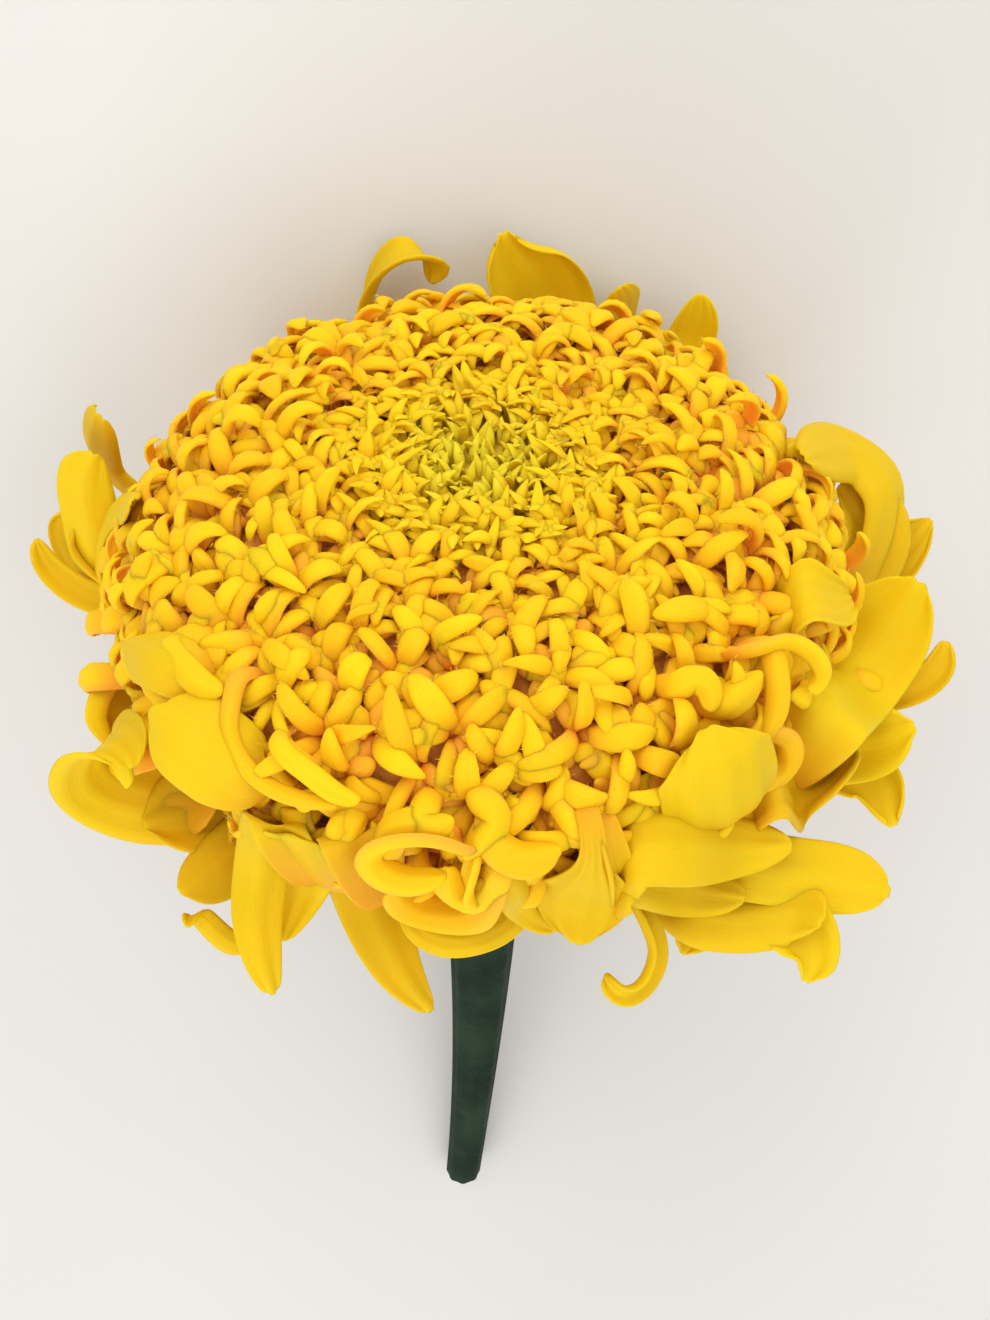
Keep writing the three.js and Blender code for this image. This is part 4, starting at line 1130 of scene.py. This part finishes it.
CURLS = [
    ([(173, 40.2, -9), (172, 43, -9), (172, 43, -6), (172, 41, -4), (173, 39.8, -5)],
     3, -1.6, 0, 0, 0, 0.12, 0.2),
    ([(252, 39.2, 7), (251, 40.5, 5.1), (249, 40.7, 2.2)], 5, -1.8, 0, 0, 0, 0, 0.2),
    ([(268, 40.4, 5.6), (264, 41.2, 7.4), (259, 41.6, 6.8), (257, 41.8, 4.4), (260, 41.8, 2.5),
      (266, 41.3, 2.7)], 5.4, -1.9, 0, 0, 0, 0.12, 0.15),
    ([(256, 40.3, 4.2), (258, 40.9, 8.2), (262, 40.6, 9.5), (267, 40.8, 7.9)],
     5.8, -1.9, 0, 0, 0, 0.12, 0.15),
    ([(273, 39.9, 2.2), (271, 40.7, -1.7), (266, 37.4, -9), (261, 37.3, -9), (258, 40.8, -1.2)],
     5, -1.2, 0, 0, 0, 0.24, 0.2),
    ([(272, 40.8, 3.9), (270, 40.8, -0.7), (267, 40.7, -2.1), (266, 40.8, 0.2), (266, 40.7, 3.4)],
     4.6, -1.3, 0, 0, 0, 0.18, 0.2),
    ([(270, 40.8, 4.6), (269, 40.8, -1), (270, 40.8, -0.7), (271, 40.8, 1.8)],
     3.6, -1.3, 0, 0, 0, 0.18, 0.2),
    ([(229, 34.4, 14.3), (231, 37.2, 12.8), (233, 39, 11), (237, 40, 9.2), (241, 40.3, 8.5),
      (246, 40.3, 8.5), (251, 39.7, 8.6)], 2.4, -1.7, 0, 0, 0, 0.12, 0.15),
    ([(239, 37, 11.9), (242, 38.4, 11.9), (246, 38.9, 11.1), (250, 39.4, 10.4), (254, 39.2, 9.6)],
     3, -1.7, 0, 0, 0, 0.18, 0.15),
    ([(318, 35, 13.9), (323, 36.8, 13.7), (325, 39, 11.9), (325, 40.1, 9.7), (323, 39.6, 9.2)],
     3.8, -1.7, 0, 0, 0, 0.18, 0.15),
    ([(308, 36.5, 12.4), (311, 37, 13.5), (317, 36.7, 13.3)], 5.6, -2, 0, 0, 0, 0, 0.15),
    ([(303, 34.1, 14.5), (306, 34.8, 15.4), (307, 36, 14.4), (306, 36.9, 12.8)],
     4.4, -1.7, 0, 0, 0, 0.18, 0.15),
    ([(322, 35, 13.9), (319, 37.5, 13), (316, 39.3, 10.5), (313, 39.8, 8.1)],
     3.6, -1.7, 0, 0, 0, 0.18, 0.15),
    ([(314, 39.5, 7.6), (317, 40.4, 5.6), (318, 40.8, 1.9), (316, 40.8, 1.6), (311, 40.5, 4.7)],
     4, -1.7, 0, 0, 0, 0.12, 0.15),
    ([(214, 36.8, 13), (220, 37.4, 13.5), (225, 37.5, 13.4), (229, 36.6, 13.1)],
     4.4, -1.7, 0, 0, 0, 0.12, 0.15),
    ([(273, 39.1, 8.6), (273, 40.7, 7.2), (276, 41.4, 5.7), (281, 40.8, 5.3)],
     5.6, -1.8, 0, 0, 0, 0.12, 0.15),
    ([(262, 38.4, 10), (262, 40.3, 9.8), (264, 40.8, 9.5), (267, 39.9, 9.6)],
     5, -1.9, 0, 0, 0, 0.12, 0.15),
    ([(269, 38.2, 10.2), (272, 40, 9.3), (270, 40.9, 7.5), (268, 40.9, 5)],
     5, -1.9, 0, 0, 0, 0.12, 0.15),
    ([(225, 36.9, 12), (225, 38.9, 11.4), (229, 39.4, 10.6), (232, 38, 11.5)],
     5, -1.9, 0, 0, 0, 0.12, 0.15),
]
FRINGE_COUNT = 34
FRINGE_FROM = -32
FRINGE_TURN = 244


def rooted(rows):
    """The same rows, each with a root inside the dome before its first place."""
    for picks, *rest in rows:
        azimuth, radius, level = picks[0]
        root = (azimuth, 0.84 * radius, 0.7 * level - 1)
        yield [root, *picks], *rest


def fringe():
    """Hooks and half rings round the far side of the dome's foot."""
    for i in range(FRINGE_COUNT):
        azimuth = FRINGE_FROM + i * FRINGE_TURN / (FRINGE_COUNT - 1) + 5 * (draw(i, 51) - 0.5)
        sweep = 22 * (draw(i, 52) - 0.5)
        level = -6.5 + 4.5 * draw(i, 53)
        picks = [(azimuth, 37, level), (azimuth + 0.3 * sweep, 41.5, level + 1.0),
                 (azimuth + 0.8 * sweep, 43 + draw(i, 54), level - 1.5),
                 (azimuth + 1.2 * sweep, 41 + 2 * draw(i, 55), level - 4.5)]
        yield picks, 4.5 + 2 * draw(i, 56), -1.7, 0, 0, 0, 0.5 * draw(i, 57), 0.15


make_petals("ray_petals_over", rooted(PETALS_OVER), (), NEAR_FACING, 39)
make_petals("disc_florets_curls", rooted(CURLS), (), NEAR_FACING, 37, "disc_florets", disc_petal)
make_petals("disc_florets_fringe", fringe(), (), None, 38, "disc_florets", disc_petal)

# %% [markdown]
# ## Stalks under the dome
# Below the petals the claws and tubes of all the florets run together into the cup. They show from
# behind as a ribbed cone, pale yellow-green. A turned body with fine ribs is enough for that.

# %% Stalks under the dome
STALK_RIBS = 46

stalk_material = dull_material("floret_stalks", (0.52, 0.36, 0.03), (0.78, 0.62, 0.10), 260.0, 0.7,
                               detail=4.0, relief=(1200.0, 0.0004))

stalks = turned([(0, -19.3), (12, -17.8), (30.6, -11.9), (31, -13.8), (23, -19.2), (14.5, -23.5),
                 (10.6, -26), (9.2, -36), (4.2, -42.5), (0, -42.5)], STALK_RIBS * 4)
for vert in stalks.verts:
    azimuth = math.atan2(vert.co.y, vert.co.x)
    rib = 1 + 0.022 * math.cos(azimuth * STALK_RIBS) * smooth(8, 16, math.hypot(vert.co.x, vert.co.y))
    vert.co.x *= rib
    vert.co.y *= rib
finish_piece("floret_stalks", stalks, "ray_florets", stalk_material)

# %% [markdown]
# ## The green cup
# A marigold's bracts are joined into one ribbed cup with a row of short teeth. The cup is a turned
# wall. Its ribs come from swelling the radius once for each bract, and its teeth from raising the
# rim in points.

# %% The green cup
CUP_TEETH = 12
CUP_RIM = -26
CUP_TOOTH = 4
CUP_MOUTH = 12.2
CUP_WALL = 1.0

bract_material, tree, shader = new_material("bracts")
bract_colour = clouds(tree, (0.045, 0.10, 0.03), (0.11, 0.20, 0.055), 180.0, 4.0)
tree.links.new(bract_colour, shader.inputs["Base Color"])
tree.links.new(fitted(tree, noise(tree, 600.0), 0.5, 0.75), shader.inputs["Roughness"])
shader.inputs["Subsurface Weight"].default_value = 0.08
shader.inputs["Subsurface Scale"].default_value = 0.001
add_bump(tree, shader, noise(tree, 1400.0), 0.0002)

outside = [(5.3, -47), (6.5, -45), (7.6, -43), (9.6, -39.6), (11, -36), (11.9, -31), (CUP_MOUTH, CUP_RIM)]
inside = [(radius - CUP_WALL, level) for radius, level in reversed(outside[2:])]
cup = turned([(0, -47), *outside, *inside, (0, -43)], CUP_TEETH * 10)
for vert in cup.verts:
    azimuth = math.atan2(vert.co.y, vert.co.x)
    radius = math.hypot(vert.co.x, vert.co.y)
    wave = math.cos(azimuth * CUP_TEETH)
    swell = 1 + 0.03 * wave * smooth(5, 8, radius)
    if vert.co.z > CUP_RIM - 0.01:
        tooth = max(0, 1 - abs((azimuth * CUP_TEETH / math.tau + 0.5) % 1 - 0.5) * 2.1)
        vert.co.z += CUP_TOOTH * tooth ** 0.8
        swell += 0.05 * tooth
    vert.co.x *= swell
    vert.co.y *= swell
finish_piece("green_cup", cup, "involucre", bract_material, rounded=1)

# %% [markdown]
# ## The stem
# The stem is a club: thick under the cup, fluted, and slimmer towards the cut. It is a many-sided
# tube cut into rings, each ring shaped and moved. The cut end is inset twice, so that a thin green
# skin shows round a pale pith with a hollow in the middle.

# %% The stem
STEM_TOP = -47.3
STEM_END = Vector((-3.2, -5.2, -117))
STEM_TOP_RADIUS = 5.1
STEM_END_RADIUS = 2.5
STEM_FLUTES = 8
FLUTE_DEPTH = 0.07
STEM_SIDES = 64
STEM_RINGS = 48
PITH_COLOUR = (0.55, 0.60, 0.36)

stem_material, tree, shader = new_material("stem_skin")
# The skin's dark green is partly its own colour and partly painted shadow: it is darkened to the shade that
# the stem lies in below the head.
stem_green_and_shade = clouds(tree, (0.007, 0.019, 0.010), (0.018, 0.042, 0.022), 120.0, 5.0)
with_pith = blended(tree, attribute(tree, "pith"), stem_green_and_shade, PITH_COLOUR)
tree.links.new(with_pith, shader.inputs["Base Color"])
tree.links.new(fitted(tree, noise(tree, 700.0), 0.5, 0.75), shader.inputs["Roughness"])
shader.inputs["Specular IOR Level"].default_value = 0.08
add_bump(tree, shader, noise(tree, 1500.0), 0.00015)

stem = bmesh.new()
pith = stem.verts.layers.float.new("pith")
stem_length = STEM_TOP - STEM_END.z
add_tube(stem, STEM_SIDES, STEM_RINGS, -0.5)
cut = [face for face in stem.faces if face.calc_center_median().z < -0.999]
for inset, sink in ((0.12, 0.0), (0.35, 0.0), (0.2, 0.012)):
    bmesh.ops.inset_region(stem, faces=cut, thickness=inset, use_even_offset=True)
    for vert in {vert for face in cut for vert in face.verts}:
        vert[pith] = 1.0
        vert.co.z += sink
for vert in stem.verts:
    down = -vert.co.z
    radius = mix(STEM_END_RADIUS, STEM_TOP_RADIUS, (1 - down) ** 1.3 if down < 1 else 0)
    azimuth = math.atan2(vert.co.y, vert.co.x)
    flute = 1 - FLUTE_DEPTH * (1 - math.cos(azimuth * STEM_FLUTES)) / 2
    lean = down ** 2
    place = Vector((vert.co.x * radius * flute + STEM_END.x * lean,
                    vert.co.y * radius * flute + STEM_END.y * lean,
                    STEM_TOP - down * stem_length))
    vert.co = place + TO_CEILING * max(0, 0.02 - height_above_table(place))
finish_piece("stem_club", stem, "stem", stem_material)
